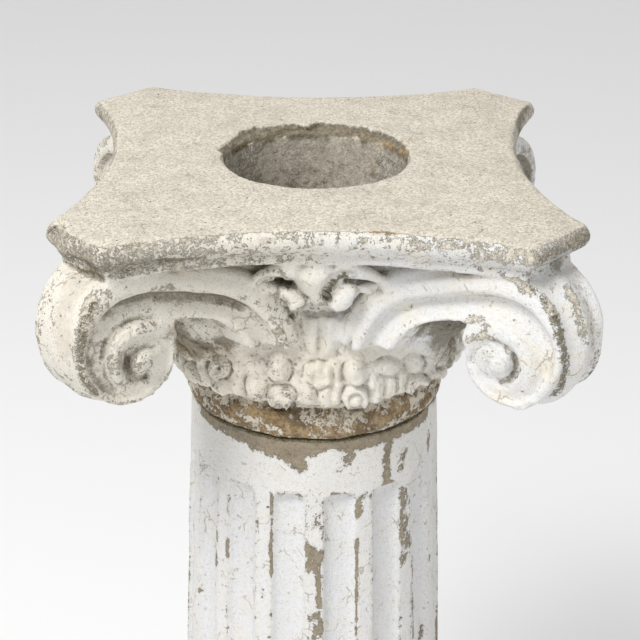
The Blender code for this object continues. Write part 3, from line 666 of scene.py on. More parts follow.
def slab_outline(setback, column):
    """A point of the slab's plan, drawn in by setback: hollow sides between cut corners."""
    chord = SLAB_HORN_HALF_WIDTH
    side_radius = (chord**2 + SLAB_SIDE_SAG**2) / (2 * SLAB_SIDE_SAG)
    side_centre = SLAB_SIDE_MIDDLE + side_radius
    radius = side_radius + setback
    below_corner = side_centre - SLAB_HALF_WIDTH - SLAB_HORN_HALF_WIDTH + setback * math.sqrt(2)
    corner_x = (-below_corner + math.sqrt(max(0.0, 2 * radius**2 - below_corner**2))) / 2
    edge_turn = math.asin(corner_x / radius)
    quarter, step = divmod(column, SLAB_SIDE_STEPS + SLAB_CORNER_STEPS)
    if step <= SLAB_SIDE_STEPS:
        side_turn = edge_turn * (2 * step / SLAB_SIDE_STEPS - 1)
        point = Vector((radius * math.sin(side_turn), radius * math.cos(side_turn) - side_centre))
    else:
        corner_y = radius * math.cos(edge_turn) - side_centre
        start, end = Vector((corner_x, corner_y)), Vector((-corner_y, -corner_x))
        point = start.lerp(end, (step - SLAB_SIDE_STEPS) / SLAB_CORNER_STEPS)
    turn_cos, turn_sin = math.cos(quarter * math.pi / 2), math.sin(quarter * math.pi / 2)
    return Vector((point.x * turn_cos - point.y * turn_sin, point.x * turn_sin + point.y * turn_cos))


def slab_edge():
    """The slab edge's section, as (height, setback): worn arris, quarter roll, groove and fillet."""
    groove = CAPITAL_TOP - ROLL_HEIGHT
    edge = [(CAPITAL_TOP, 0.0035), (CAPITAL_TOP - 0.0008, 0.0012), (CAPITAL_TOP - 0.0030, 0.0)]
    for i in range(1, 13):
        share = i / 12
        bulge = SLAB_ROLL_BULGE * math.sin(math.pi * min(1.0, share * 1.12)) ** 0.8
        edge.append((CAPITAL_TOP - 0.003 - (ROLL_HEIGHT - 0.0035) * share, 0.0075 * share**2.6 - bulge))
    edge += [(groove, 0.0128), (groove - 0.0015, 0.0118), (groove - 0.0030, 0.0100)]
    edge += [(SLAB_UNDERSIDE + 0.002, 0.0100), (SLAB_UNDERSIDE, 0.0118)]
    return edge


def through_knots(knots, at):
    """A smooth curve through (place, value) pairs, which keeps flat where the pairs are level."""
    places = np.array([k[0] for k in knots], float)
    values = np.array([k[1] for k in knots], float)
    gaps = np.diff(places)
    slopes = np.diff(values) / gaps
    tangents = np.concatenate(([slopes[0]], np.zeros(len(slopes) - 1), [slopes[-1]]))
    for i in range(1, len(slopes)):
        before, after = slopes[i - 1], slopes[i]
        if before * after > 0:
            weight_a = 2 * gaps[i] + gaps[i - 1]
            weight_b = gaps[i] + 2 * gaps[i - 1]
            tangents[i] = (weight_a + weight_b) / (weight_a / before + weight_b / after)
    at = np.clip(np.asarray(at, float), places[0], places[-1])
    i = np.minimum(np.searchsorted(places, at, side="right") - 1, len(gaps) - 1)
    t = (at - places[i]) / gaps[i]
    first = values[i] * (1 + 2 * t) * (1 - t) ** 2 + tangents[i] * gaps[i] * t * (1 - t) ** 2
    second = values[i + 1] * t * t * (3 - 2 * t) + tangents[i + 1] * gaps[i] * t * t * (t - 1)
    return first + second


def bell_reach(turn, height):
    """How far out the bell stands: round below, and flared out to the scrolls on the diagonals."""
    rise = SLAB_UNDERSIDE - BELL_FOOT
    flare = WEB_TOP_RADIUS - COVE_RADIUS
    cove = ((BELL_FOOT - COVE_HEIGHT, COVE_RADIUS), (BELL_FOOT - 0.3 * COVE_HEIGHT, COVE_RADIUS + 0.001))
    bell_rises = ((0.001, 0.1320), (0.005, 0.1425), (0.011, 0.1460), (0.042, 0.1465), (0.060, 0.1445),
                  (0.100, 0.1460), (rise, BELL_TOP_RADIUS))
    web_rises = ((0.001, 0.1330), (0.005, 0.1440), (0.011, 0.1480), (0.030, 0.1530),
                 (0.33 * rise, COVE_RADIUS + 0.41 * flare), (0.60 * rise, COVE_RADIUS + 0.80 * flare),
                 (rise, WEB_TOP_RADIUS))
    bell, web = (
        through_knots((*cove, *((BELL_FOOT + up, reach) for up, reach in rises)), height)
        for rises in (bell_rises, web_rises)
    )
    return bell + (web - bell) * np.abs(np.sin(2 * np.asarray(turn))) ** WEB_STEEPNESS


def capital_core():
    """Slab, bell, ring and bore in one closed body."""
    slab = slab_edge()
    bell_steps = int((SLAB_UNDERSIDE - BELL_FOOT + COVE_HEIGHT) / BELL_STEP)
    bell_heights = [SLAB_UNDERSIDE - BELL_STEP * i for i in range(bell_steps + 1)]
    ring = roll(RING_FOOT_RADIUS, RING_RADIUS, CAPITAL_FOOT + 0.0018, CAPITAL_FOOT + RING_HEIGHT, 12)[::-1]
    ring += [(0.1195, CAPITAL_FOOT + 0.0016), (0.1185, CAPITAL_FOOT)]
    bore = traced([(BORE_RADIUS, CAPITAL_FOOT), (BORE_RADIUS, CAPITAL_TOP)], BORE_STEP)
    bore.append((BORE_RADIUS, CAPITAL_TOP - 0.0002))
    reach_in = [0.15, 0.3, 0.45, 0.6, 0.75, 0.9]
    stretches = (("top", reach_in), ("slab", slab), ("bell", bell_heights), ("ring", ring), ("bore", bore))
    plan = [(kind, value) for kind, values in stretches for value in values]

    def place(column, row):
        rim = slab_outline(0.0, column)
        turn = math.atan2(rim.y, rim.x)
        kind, value = plan[row]
        if kind == "slab":
            out = slab_outline(value[1], column)
            return out.x, out.y, value[0]
        if kind == "top":
            out = slab_outline(slab[0][1], column)
            radius, height = BORE_RADIUS + (out.length - BORE_RADIUS) * value, CAPITAL_TOP
        elif kind == "bell":
            radius, height = float(bell_reach(turn, value)), value
        else:
            radius, height = value
        return radius * math.cos(turn), radius * math.sin(turn), height

    return wrapped(SLAB_COLUMNS, len(plan), place)


# The corner scrolls' shape: turn of the scroll in degrees (0 is straight up, 90 towards the corner)
# with the radius there, and the lower edge of the band that runs to the scroll.
SHEET_MIDDLE = 0.156
SHEET_CORNER_SIDE = 0.205
EYE_HEIGHT = SLAB_UNDERSIDE - 0.078
EYE_RADIUS = 0.012
FIRST_TURN = -96
LANDING_TURN = -48
LAST_TURN = 600
SCROLL_OUTER = (
    (FIRST_TURN, 0.138), (-72, 0.123), (-48, 0.095), (-24, 0.081), (0, 0.080), (24, 0.081), (48, 0.078),
    (90, 0.064), (135, 0.0515), (180, 0.0425), (225, 0.0370), (270, 0.0325), (312, 0.042), (336, 0.0375),
    (360, 0.0345), (450, 0.027), (540, 0.018), (LAST_TURN, EYE_RADIUS),
)
BAND_LOWER = ((FIRST_TURN, 0.101), (-79, 0.082), (-61, 0.056), (LANDING_TURN, 0.043))
SCROLL_STEP = 6
SHARES = (
    0.0, 0.03, 0.06, 0.09, 0.12, 0.16, 0.20, 0.24, 0.28, 0.32, 0.36, 0.42, 0.50, 0.58, 0.66, 0.74,
    0.82, 0.88, 0.94, 1.0,
)
HORN_COLUMNS = 20
# How the carving changes along the scroll's turn, in metres and in shares of the band's width: the
# outer rib, the channel beside it, the whorl inside it, the groove round the eye and the band
RIB_HEIGHT = ((-96, 0.0032), (-20, 0.0040), (40, 0.0036), (85, 0.0014), (200, 0.0008), (600, 0.0))
RIB_SHARE = ((-96, 0.26), (-60, 0.34), (0, 0.38), (35, 0.32), (70, 0.20), (110, 0.16), (600, 0.16))
CHANNEL_DEPTH = (
    (-96, 0.0080), (-60, 0.0098), (30, 0.0100), (90, 0.0068), (180, 0.0042), (330, 0.0016), (600, 0.0),
)
WHORL_RISE = ((0, 0.0), (300, 0.0), (345, 0.0042), (450, 0.0058), (600, 0.0055))
GROOVE_RADIUS = ((0, 90, 180, 225, 300, 360), (0.0150, 0.0165, 0.0195, 0.021, 0.0215, 0.0150))
GROOVE_DEPTH = (
    (0, 70, 150, 200, 235, 285, 320, 360),
    (0.0045, 0.0072, 0.0070, 0.005, 0, 0, 0.004, 0.0045),
)
BAND_SWELL = (
    (-60, -20, 20, 60, 90, 130, 165, 200),
    (0.0, 0.006, 0.006, 0.002, 0.003, 0.008, 0.006, 0),
)
EYE_BALL = (0.0118, 0.0118, 0.0095, 1.0)


def sheet_depth(side, reach):
    return SHEET_MIDDLE + (reach - SHEET_MIDDLE) * (side / SHEET_CORNER_SIDE) ** 2


def length_along(side, reach):
    curvature = 2 * (reach - SHEET_MIDDLE) / SHEET_CORNER_SIDE**2
    slope = curvature * side
    return (slope * np.sqrt(1 + slope * slope) + np.arcsinh(slope)) / (2 * curvature)


def scroll_relief(turn, share, step):
    """Height of the carving: an outer rib, the channel beside it, and the whorl inside it."""
    rib, rib_share = through_knots(RIB_HEIGHT, turn), through_knots(RIB_SHARE, turn)
    depth = through_knots(CHANNEL_DEPTH, turn)
    landed = np.clip((turn - LANDING_TURN) / 30.0, 0.0, 1.0)
    edge, next_edge = through_knots(WHORL_RISE, turn), through_knots(WHORL_RISE, turn + 360) * landed
    lower_rib = 0.0036 * (1 - landed) * np.sin(np.pi * np.clip((share - 0.70) / 0.38, 0, 1)) ** 0.8
    bump = np.sin(np.pi * np.clip(share / (1.4 * rib_share), 0, 1)) ** 0.7
    across = np.clip((share - rib_share) / (1 - rib_share), 0.0, 1.0)
    smooth_hollow = np.sin(np.pi * across**0.8) ** 0.8
    stepped_hollow = ramp(across, 0.0, 0.22) * (1 - np.clip((across - 0.22) / 0.78, 0, 1) ** 1.4)
    hollow = smooth_hollow + (stepped_hollow - smooth_hollow) * step
    return edge * (1 - share) + next_edge * share + rib * bump - depth * hollow + lower_rib


def scroll_radius(turn, face):
    """The spiral's outer edge. A face may be drawn in on the corner's side."""
    drawn_in = face["drawn_in"] * np.interp(turn, (20, 60, 110, 150), (0.0, 1.0, 1.0, 0.0))
    return through_knots(SCROLL_OUTER, turn) - drawn_in


def eye_groove(turn, radius, relief):
    """The hollow that curls round the eye, deepest on the corner's side, and the bead that it leaves."""
    turn = turn % 360
    middle, depth = np.interp(turn, *GROOVE_RADIUS), np.interp(turn, *GROOVE_DEPTH)
    away = (radius - middle) / np.where(radius > middle, 0.0046, 0.0040)
    return relief - depth * np.exp(-(away**2))


def scroll_points(turn, radius, relief, face):
    """Points of a scroll face on the right half of the front, from arrays of turn, radius and relief."""
    turn = np.radians(turn)
    reach, eye_side = face["reach"], face["eye_side"]
    length = length_along(eye_side, reach) + radius * np.sin(turn)
    side = length.copy()
    curvature = 2 * (reach - SHEET_MIDDLE) / SHEET_CORNER_SIDE**2
    for _ in range(8):
        side -= (length_along(side, reach) - length) / np.sqrt(1 + (curvature * side) ** 2)
    slope = curvature * side
    size = np.sqrt(1 + slope * slope)
    x = side - slope / size * relief
    y = -sheet_depth(side, reach) - relief / size
    return np.stack([x, y, EYE_HEIGHT + radius * np.cos(turn)], -1)


def horn_band(turn, share, horn):
    """The horn's outer side between its two faces: a hollow each side of a middle ridge."""
    fade = np.interp(turn, (-30, 30, 200, 250), (0, 1, 1, 0))
    ridge = horn["ridge"] * np.sin(np.pi * share) ** 4
    swell = horn["fullness"] * np.interp(turn, *BAND_SWELL)
    hollow = 0.62 * horn["ridge"] * np.abs(np.sin(2 * np.pi * share))
    return fade * (ridge - hollow) + swell * np.sin(np.pi * share) ** 0.7


def face_grid(face, turns, step):
    """The points of one spiral face: a row for each turn, from the outer edge to the next whorl."""
    rows = len(turns) - 1
    outer = scroll_radius(turns, face)
    inner = np.where(turns < LANDING_TURN, through_knots(BAND_LOWER, turns), scroll_radius(turns + 360, face))
    grid = np.empty((rows + 1, len(SHARES) + 1, 3))
    for j, share in enumerate(SHARES):
        relief = np.where(turns >= LAST_TURN, 0.0050, scroll_relief(turns, share, step))
        radius = outer + (inner - outer) * share
        grid[:, j] = scroll_points(turns, radius, eye_groove(turns, radius, relief), face)
    grid[:, -1] = grid[:, -2]
    around = 360 // SCROLL_STEP
    eye = scroll_points(np.zeros(1), np.zeros(1), np.array([0.0040]), face)[0]
    for i in range((LANDING_TURN - FIRST_TURN) // SCROLL_STEP, rows + 1):
        grid[i, -1] = grid[i + around, 0] if i + around <= rows else eye
    return grid


def across_diagonal(points):
    return points[..., [1, 0, 2]] * (-1, -1, 1)


def build_horn(horn):
    """A corner scroll: a spiral face, its twin across the diagonal, and the band between them."""
    bm = bmesh.new()
    turns = np.arange(FIRST_TURN, LAST_TURN + 1, SCROLL_STEP).astype(float)
    rows, columns = len(turns) - 1, len(SHARES)
    first_face, second_face = horn["faces"]
    grid = face_grid(first_face, turns, horn["step"])
    twin_grid = across_diagonal(face_grid(second_face, turns, horn["step"]))
    turn_layer = bm.verts.layers.float.new("turn")
    row_layer, column_layer = bm.verts.layers.int.new("row"), bm.verts.layers.int.new("column")
    made = bmesh.ops.create_grid(bm, x_segments=rows, y_segments=columns, size=0.5)
    for vert in made["verts"]:
        i, j = round((vert.co.x + 0.5) * rows), round((vert.co.y + 0.5) * columns)
        vert.co = grid[i, j]
        vert[turn_layer] = turns[i] if j == 0 else -999.0
        vert[row_layer], vert[column_layer] = i, j
    bmesh.ops.remove_doubles(bm, verts=bm.verts, dist=2e-6)
    bmesh.ops.dissolve_degenerate(bm, edges=bm.edges, dist=1e-6)
    copied = bmesh.ops.duplicate(bm, geom=bm.verts[:] + bm.edges[:] + bm.faces[:])
    for vert in copied["geom"]:
        if isinstance(vert, bmesh.types.BMVert):
            vert.co = twin_grid[vert[row_layer], vert[column_layer]]
    rims = [edge for edge in bm.edges if edge.is_boundary]
    bridged = bmesh.ops.bridge_loops(bm, edges=rims)
    struts = list({edge for face in bridged["faces"] for edge in face.edges} - set(rims))
    cut = bmesh.ops.subdivide_edges(bm, edges=struts, cuts=HORN_COLUMNS - 1, use_grid_fill=True)
    bmesh.ops.recalc_face_normals(bm, faces=bm.faces)
    bm.normal_update()
    band = [g for g in cut["geom_inner"] if isinstance(g, bmesh.types.BMVert) and -60 <= g[turn_layer] <= 260]
    band_turns = np.array([vert[turn_layer] for vert in band])
    side_way = np.array((1.0, 1.0, 0.0)) / math.sqrt(2)
    offset = np.array([vert.co[:] for vert in band]) @ side_way
    rim, twin_rim = (
        scroll_points(band_turns, scroll_radius(band_turns, face), 0.0, face) for face in horn["faces"]
    )
    rim, twin_rim = rim @ side_way, across_diagonal(twin_rim) @ side_way
    push = horn_band(band_turns, np.clip((offset - twin_rim) / (rim - twin_rim), 0, 1), horn)
    for vert, amount in zip(band, push):
        vert.co += vert.normal * float(amount)
    for n, face in enumerate(horn["faces"]):
        centre = scroll_points(np.zeros(1), np.zeros(1), np.array([0.0012]), face)
        slope = 2 * (face["reach"] - SHEET_MIDDLE) * face["eye_side"] / SHEET_CORNER_SIDE**2
        outward = np.array([[-slope, -1.0, 0.0]])
        if n:
            centre, outward = across_diagonal(centre), across_diagonal(outward)
        facing = Vector(outward[0]).to_track_quat("Z", "Y").to_matrix().to_4x4()
        stance = Matrix.Translation(centre[0]) @ facing @ Matrix.Diagonal(EYE_BALL)
        eye = bmesh.ops.create_uvsphere(bm, u_segments=20, v_segments=14, radius=1.0)
        bmesh.ops.transform(bm, matrix=stance, verts=eye["verts"])
    return bm


def corner_form(faces, step, ridge, fullness):
    """A corner's own form. A face has its reach, how far along it the eye lies and how far its edge
    is drawn in. The step says how sharply the channel drops from the rib, and the band has a middle
    ridge and a fullness."""
    faces = [dict(zip(("reach", "eye_side", "drawn_in"), face)) for face in faces]
    return {"faces": faces, "step": step, "ridge": ridge, "fullness": fullness}


# The four corners in turn, from the front right one
HORNS = (
    corner_form(((0.2412, 0.1572, 0.007), (0.2448, 0.1560, 0.002)), 0.45, 0.0045, 0.0),
    corner_form(((0.2440, 0.1530, 0.002), (0.2440, 0.1530, 0.002)), 0.50, 0.0040, 0.2),
    corner_form(((0.2440, 0.1515, 0.002), (0.2440, 0.1515, 0.002)), 0.40, 0.0040, 0.2),
    corner_form(((0.2440, 0.1505, 0.004), (0.2385, 0.1505, 0.005)), 1.00, 0.0015, 0.3),
)


def gather(bm, part, turn):
    """Adds a part's faces to the casting, turned about the column's axis by whole quarters."""
    part.transform(Matrix.Rotation(turn * math.pi / 2, 4, "Z"))
    mesh = bpy.data.meshes.new("part_form")
    part.to_mesh(mesh)
    part.free()
    bm.from_mesh(mesh)
    bpy.data.meshes.remove(mesh)


gathered = capital_core()
for quarter, horn in enumerate(HORNS):
    gather(gathered, build_horn(horn), quarter)


STRAND_STEP = 0.002


def add_strand(bm, stations, sections=14):
    """A tapering rope. A station is a picture point, a half width and how far its middle lies in
    front of the column's axis, in millimetres."""
    places, widths = [], []
    for x, y, width, distance in stations:
        sight = sight_to(x, y)
        places.append(camera_place + sight * ((-0.001 * distance - camera_place.y) / sight.y))
        widths.append(width * 0.001)
    runs = [0.0]
    for a, b in zip(places, places[1:]):
        runs.append(runs[-1] + (b - a).length)
    steps = max(6, round(runs[-1] / STRAND_STEP))
    stops = np.linspace(0, runs[-1], steps + 1)
    knots = [list(zip(runs, [place[k] for place in places])) for k in range(3)]
    path = np.stack([through_knots(each, stops) for each in knots], -1)
    width = through_knots(list(zip(runs, widths)), stops)
    from_end = np.minimum(stops, runs[-1] - stops)
    closed = 1 - np.clip(from_end / np.maximum(width, 1e-6), 0, 1)
    width = width * np.sqrt(np.clip(1 - closed**2, 0.0, 1.0))
    heading = np.gradient(path, axis=0)
    made = bmesh.ops.create_grid(bm, x_segments=sections, y_segments=steps, size=0.5)
    for vert in made["verts"]:
        i, j = round((vert.co.x + 0.5) * sections) % sections, round((vert.co.y + 0.5) * steps)
        way = Vector(heading[j]).normalized()
        side = way.cross((0.0, 1.0, 0.0)).normalized()
        spoke = Matrix.Rotation(2 * math.pi * i / sections, 3, way) @ side
        vert.co = Vector(path[j]) + spoke * width[j]
    bmesh.ops.remove_doubles(bm, verts=made["verts"], dist=1e-6)
    bmesh.ops.recalc_face_normals(bm, faces=bm.faces)


# The curled leaf under the slab's side: a hood with two arms, its two rolls and the stalk below.
# One row a strand: (picture x, picture y, half width, distance before the axis).
LEAF_STRANDS = (
    ((318, 254, 22, 166), (318, 266, 22, 165), (318, 276, 19, 163), (318, 288, 14, 161), (317, 306, 7, 159)),
    ((302, 262, 14, 170), (288, 268, 11, 170), (276, 271.5, 8.5, 169), (264, 275.5, 6.5, 166),
     (249, 285, 4, 161)),
    ((334, 262, 14, 170), (348, 267, 11, 170), (358, 270.5, 8.5, 169), (369, 274, 6.5, 167),
     (390, 285, 4, 161)),
    ((300, 268, 12, 166), (306, 281, 9, 163), (311, 296, 7, 161)),
    ((336, 268, 12, 166), (331, 281, 9, 163), (325, 296, 7, 161)),
    ((276, 288.5, 6.5, 166), (284, 294, 9.5, 167), (293, 300, 10, 167), (304, 307, 8, 164)),
    ((359, 285.5, 7, 166), (350, 292, 10, 167), (341, 300, 10, 167), (330, 307, 8, 164)),
    ((313, 312, 8, 146), (314, 330, 7, 143), (312, 356, 6, 142)),
    ((331, 312, 7, 146), (330, 330, 7, 143), (329, 356, 6, 142)),
    ((172, 271, 7, 180), (200, 272.5, 8, 168.5), (228, 275.5, 8.5, 160), (250, 279.5, 8, 155.5),
     (266, 285, 6, 154)),
    ((468, 274, 7, 180), (440, 272.5, 8, 168.5), (412, 275, 8.5, 160), (390, 279.5, 8, 155.5),
     (374, 285, 6, 154)),
    ((262, 284, 7, 152), (272, 298, 9, 150), (283, 318, 9, 149), (294, 345, 7, 146)),
    ((380, 286, 7, 152), (366, 300, 9, 150), (352, 320, 9, 149), (342, 345, 7, 146)),
    ((258, 287, 6, 157), (268, 286, 7, 158), (280, 288, 6, 159)),
    ((376, 288, 6, 157), (366, 287, 6.5, 158), (356, 288, 5, 158)),
)
for quarter in range(4):
    leaf = bmesh.new()
    for strand in LEAF_STRANDS:
        add_strand(leaf, strand)
    gather(gathered, leaf, quarter)
capital = finished("capital_casting", gathered)
fuse = capital.modifiers.new("fuse", "REMESH")
fuse.mode = "VOXEL"
fuse.voxel_size = VOXEL
fuse.use_smooth_shade = True


def settle(piece):
    """Puts what a piece's modifiers make in place of its mesh."""
    graph = bpy.context.evaluated_depsgraph_get()
    made = bpy.data.meshes.new_from_object(piece.evaluated_get(graph))
    piece.modifiers.clear()
    before, piece.data = piece.data, made
    bpy.data.meshes.remove(before)


settle(capital)
points, outward, pairs = corners_of(capital.data)
set_corners(capital.data, evened(points, pairs, 2))


def folded(points):
    """The points turned by whole quarters into the front's sector."""
    quarter = np.round((np.arctan2(points[:, 1], points[:, 0]) + math.pi / 2) / (math.pi / 2))
    back = -quarter * math.pi / 2
    x = points[:, 0] * np.cos(back) - points[:, 1] * np.sin(back)
    y = points[:, 0] * np.sin(back) + points[:, 1] * np.cos(back)
    return np.stack([x, y, points[:, 2]], 1)


def ring_path(x, y, across, down):
    """Picture points round an oval."""
    turns = [2 * math.pi * i / 12 for i in range(13)]
    return tuple((x + across * math.cos(turn), y + down * math.sin(turn)) for turn in turns)


# Lumps and cuts of the garland and the leaf: picture points, half width and height in millimetres
# (below zero for a cut), and how much dirt and painted shade lies in it
WORKED = (
    (ring_path(219, 368.6, 7, 7), 4.2, 3.4, 0),
    (((250, 362), (254, 371)), 8.0, 2.8, 0),
    (((278, 362), (279, 376)), 10.5, 5.2, 0),
    (((309, 369), (310, 371)), 6.5, 4.4, 0),
    (((318, 366), (319, 367)), 6.5, 4.0, 0),
    (((328, 369), (328, 371)), 6.5, 4.4, 0),
    (((329, 379), (328, 381)), 6.5, 4.2, 0),
    (((318, 385), (319, 386)), 6.5, 3.8, 0),
    (((308, 379), (309, 381)), 6.5, 4.2, 0),
    (((318, 376),), 8.0, 3.2, 0),
    (((355, 366), (356, 379)), 10.5, 5.2, 0),
    (((380, 368), (395, 367)), 8.0, 4.2, 0),
    (((415, 358), (415, 369)), 7.5, 3.8, 0),
    (((298, 364), (301, 374)), 6.0, 2.6, 0),
    (((336, 366), (337, 376)), 6.0, 2.6, 0),
    (((237, 366), (241, 374)), 5.5, 2.2, 0),
    (((264, 364), (266, 376)), 5.5, 2.2, 0),
    (((369, 372), (372, 384)), 6.0, 2.8, 0),
    (((218, 384), (224, 388)), 9.0, 4.6, 0),
    (((237, 384), (238, 390)), 7.0, 3.4, 0),
    (((253, 386), (257, 393)), 9.5, 4.8, 0),
    (((202, 371), (203, 379)), 7.0, 3.4, 0),
    (((229, 393), (229, 388)), 2.6, -2.0, 0.3),
    (((245, 381), (246, 397)), 2.6, -2.0, 0.3),
    (ring_path(281, 397, 10.5, 7.5), 4.2, 3.8, 0),
    (((281, 398),), 7.5, 4.8, 0),
    (((306, 381), (309, 397)), 8.0, 3.8, 0),
    (((325, 389), (326, 402)), 7.0, 3.0, 0),
    (((338, 386), (336, 400)), 6.0, 2.8, 0),
    (ring_path(355, 397, 10, 8), 4.2, 3.8, 0),
    (((355, 399),), 7.5, 4.8, 0),
    (((379, 384), (376, 398)), 6.5, 3.0, 0),
    (((391, 378), (390, 394)), 5.5, 3.2, 0),
    (((402, 374), (401, 390)), 5.5, 3.2, 0),
    (ring_path(418, 386, 9, 8.5), 4.2, 3.8, 0),
    (((418, 388),), 7.0, 4.4, 0),
    (((205, 376), (206, 384)), 6.0, 2.6, 0),
    (ring_path(279, 370, 14.5, 12.5), 3.0, -2.4, 0.45),
    (ring_path(318, 375, 16.0, 14.0), 3.0, -2.4, 0.45),
    (ring_path(355.5, 373, 14.5, 12.5), 3.0, -2.4, 0.4),
    (ring_path(388, 367, 13.0, 9.5), 2.8, -2.0, 0.3),
    (ring_path(219, 368.6, 12.5, 12.0), 2.8, -2.0, 0.45),
    (ring_path(415, 364, 11.0, 10.0), 2.8, -2.0, 0.3),
    (ring_path(281, 397, 15.5, 11.5), 2.8, -2.4, 0.4),
    (ring_path(355, 397, 15.0, 12.0), 2.8, -2.4, 0.35),
    (ring_path(418, 386, 13.0, 12.0), 2.8, -2.2, 0.3),
    (((318, 376.7),), 5.0, -1.2, 0.5),
    (((219, 368.6),), 4.5, -1.5, 0.5),
    (((355, 377),), 5.5, -1.0, 0.4),
    (((279, 375),), 5.5, -0.9, 0.4),
    (((293, 390), (294, 405)), 3.4, -2.2, 0.4),
    (((268, 386), (266, 397)), 3.0, -1.6, 0.4),
    (((317, 387), (317, 405)), 3.0, -1.8, 0.4),
    (((344, 386), (343, 401)), 2.8, -1.6, 0.3),
    (((367, 386), (368, 402)), 3.0, -2.0, 0.4),
    (((385, 378), (384, 395)), 2.6, -1.6, 0.3),
    (((396, 372), (396, 394)), 2.4, -1.6, 0.3),
    (((408, 376), (409, 394)), 2.6, -1.6, 0.3),
    (((229, 376), (228, 388)), 2.6, -1.6, 0.4),
    (((245, 376), (245, 392)), 2.8, -1.6, 0.4),
    (((259, 283), (267, 279.5), (275, 279), (282, 281), (289, 286.5)), 3.0, -3.0, 0.4),
    (((280, 280), (289, 282)), 4.0, -3.5, 0.7),
    (((276, 293), (281, 299), (287, 306), (293, 316)), 3.0, -3.0, 0.8),
    (((293, 287), (301, 294), (309, 299)), 2.6, -1.6, 0.2),
    (((302, 313), (316, 314.5), (332, 313)), 3.5, -2.5, 0.3),
    (((327, 299), (327, 290), (332, 282), (345, 276), (352, 277)), 4.8, -4.5, 0.8),
    (((360, 289), (357, 300), (345, 311), (335, 314)), 3.0, -2.0, 0.2),
    (((320, 320), (320, 336), (319, 350)), 2.6, -1.4, 0.25),
    (((345, 316), (342, 336), (338, 355)), 2.8, -1.6, 0.3),
    (((300, 320), (303, 340), (305, 352)), 2.6, -1.4, 0.3),
    (((191, 333), (210, 341), (228, 356)), 4.0, 2.2, 0),
    (((183, 344), (199, 353), (210, 360)), 4.0, 1.8, 0),
    (((186, 338), (205, 347), (220, 360)), 2.6, -1.8, 0.35),
    (((430, 327), (418, 340), (403, 354)), 4.0, 1.8, 0),
    (((421, 326), (408, 338), (394, 350)), 3.5, 1.4, 0),
    (((434, 338), (428, 352), (420, 356)), 4.0, 1.6, 0),
    (((434, 372), (431, 384)), 7.0, 2.6, 0),
)
# What is carved or worn on the front's own two scrolls and slab corners, given in the same way
HORN_WORK = (
    (((155, 347), (146, 346), (137, 350), (129, 357), (126, 366), (130, 375), (138, 380), (146, 378),
      (151, 371)), 4.2, -4.8, 0.4),
    (((128, 358), (126, 366), (129, 373)), 3.6, -1.0, 0.9),
    (((47, 236), (49, 229), (54, 225)), 15.0, -7.0, 0),
    (((64, 251), (72, 257), (84, 264)), 9.0, 4.0, 0),
    (((455, 347),), 15.0, 3.2, 0),
    (((451, 364),), 14.0, 3.6, 0),
    (((440, 352), (441, 360)), 13.0, 3.0, 0),
    (((164, 331), (150, 328), (136, 331), (124, 339), (116, 350)), 6.5, 3.4, 0),
    (((116, 350), (113, 364), (115, 378)), 6.5, 2.6, 0),
    (((115, 378), (124, 390), (140, 395), (156, 391)), 6.5, 1.6, 0),
    (((158, 319), (145, 317), (129, 321), (115, 330), (106, 343), (103, 358)), 5.0, -3.0, 0.3),
    (((103, 358), (106, 375), (117, 390)), 4.0, -1.6, 0.25),
    (((140, 363), (148, 366)), 6.0, 2.2, 0),
    (((472, 362), (474, 352), (484, 346), (494, 350), (499, 357)), 4.0, -3.6, 0.3),
    (((487, 358), (486, 368), (491, 377), (500, 382), (510, 380), (516, 373), (517, 364), (514, 355)),
     4.0, -4.6, 0.45),
    (((514, 360), (515, 367), (512, 373)), 3.6, -1.0, 0.95),
    (((501, 363), (503, 367)), 7.0, 3.0, 0),
    (((467, 340), (481, 335), (498, 335), (515, 343), (528, 357), (533, 372), (527, 388)), 7.0, 2.2, 0),
    (((471, 325), (488, 322), (508, 327), (527, 338), (541, 356), (545, 374)), 5.0, -1.6, 0.1),
    (((586, 236),), 12.0, -1.2, 0),
)
WORKED_STRENGTH = 1.7
forms = forms_of(capital.data)
points, outward, pairs = corners_of(capital.data)
raised = np.zeros(len(points))
sunk = np.zeros(len(points))
works = ((folded(points), WORKED, WORKED_STRENGTH, 1.3), (points, HORN_WORK, 1.0, 1.5))
for places, rows, strength, sharpness in works:
    for path, half_width, rise, _ in rows:
        share = along(places, forms, path, half_width)
        raised = np.maximum(raised, strength * rise * share)
        sunk = np.maximum(sunk, -strength * rise * share**sharpness)


def over(height, low, high):
    """0 up to one height above the capital's foot and 1 from another."""
    return ramp(height, CAPITAL_FOOT + low, CAPITAL_FOOT + high)


def over_bell_foot(height, low, high):
    return ramp(height, BELL_FOOT + low, BELL_FOOT + high)


def under_top(height, low, high):
    """0 up to one depth below the slab's top, 1 from another."""
    return ramp(height, CAPITAL_TOP - low, CAPITAL_TOP - high)


radius, height = np.hypot(points[:, 0], points[:, 1]), points[:, 2]
on_outside = ramp(radius, 0.095, 0.105)
on_ring = (1 - over(height, 0.032, 0.036)) * on_outside
on_garland = over_bell_foot(height, 0.0, 0.006) * (1 - over_bell_foot(height, 0.055, 0.070))
on_garland *= (1 - ramp(radius, 0.156, 0.164)) * on_outside
on_slab_edge = ramp(height, SLAB_UNDERSIDE - 0.002, SLAB_UNDERSIDE + 0.002) * on_outside
on_slab_edge *= 1 - ramp(outward[:, 2], 0.6, 0.9)
move = 0.001 * (raised - sunk)
move += 0.0006 * lumps(points, 0.045, 21, 3) * on_outside * (1 - ramp(outward[:, 2], 0.8, 0.95))
move += 0.0009 * lumps(points, 0.008, 22, 3) * on_garland
move += 0.0013 * lumps(points * (1, 1, 1.8), 0.013, 23, 4) * on_ring
move += 0.0004 * lumps(points * (1, 1, 3), 0.016, 24, 4) * on_slab_edge
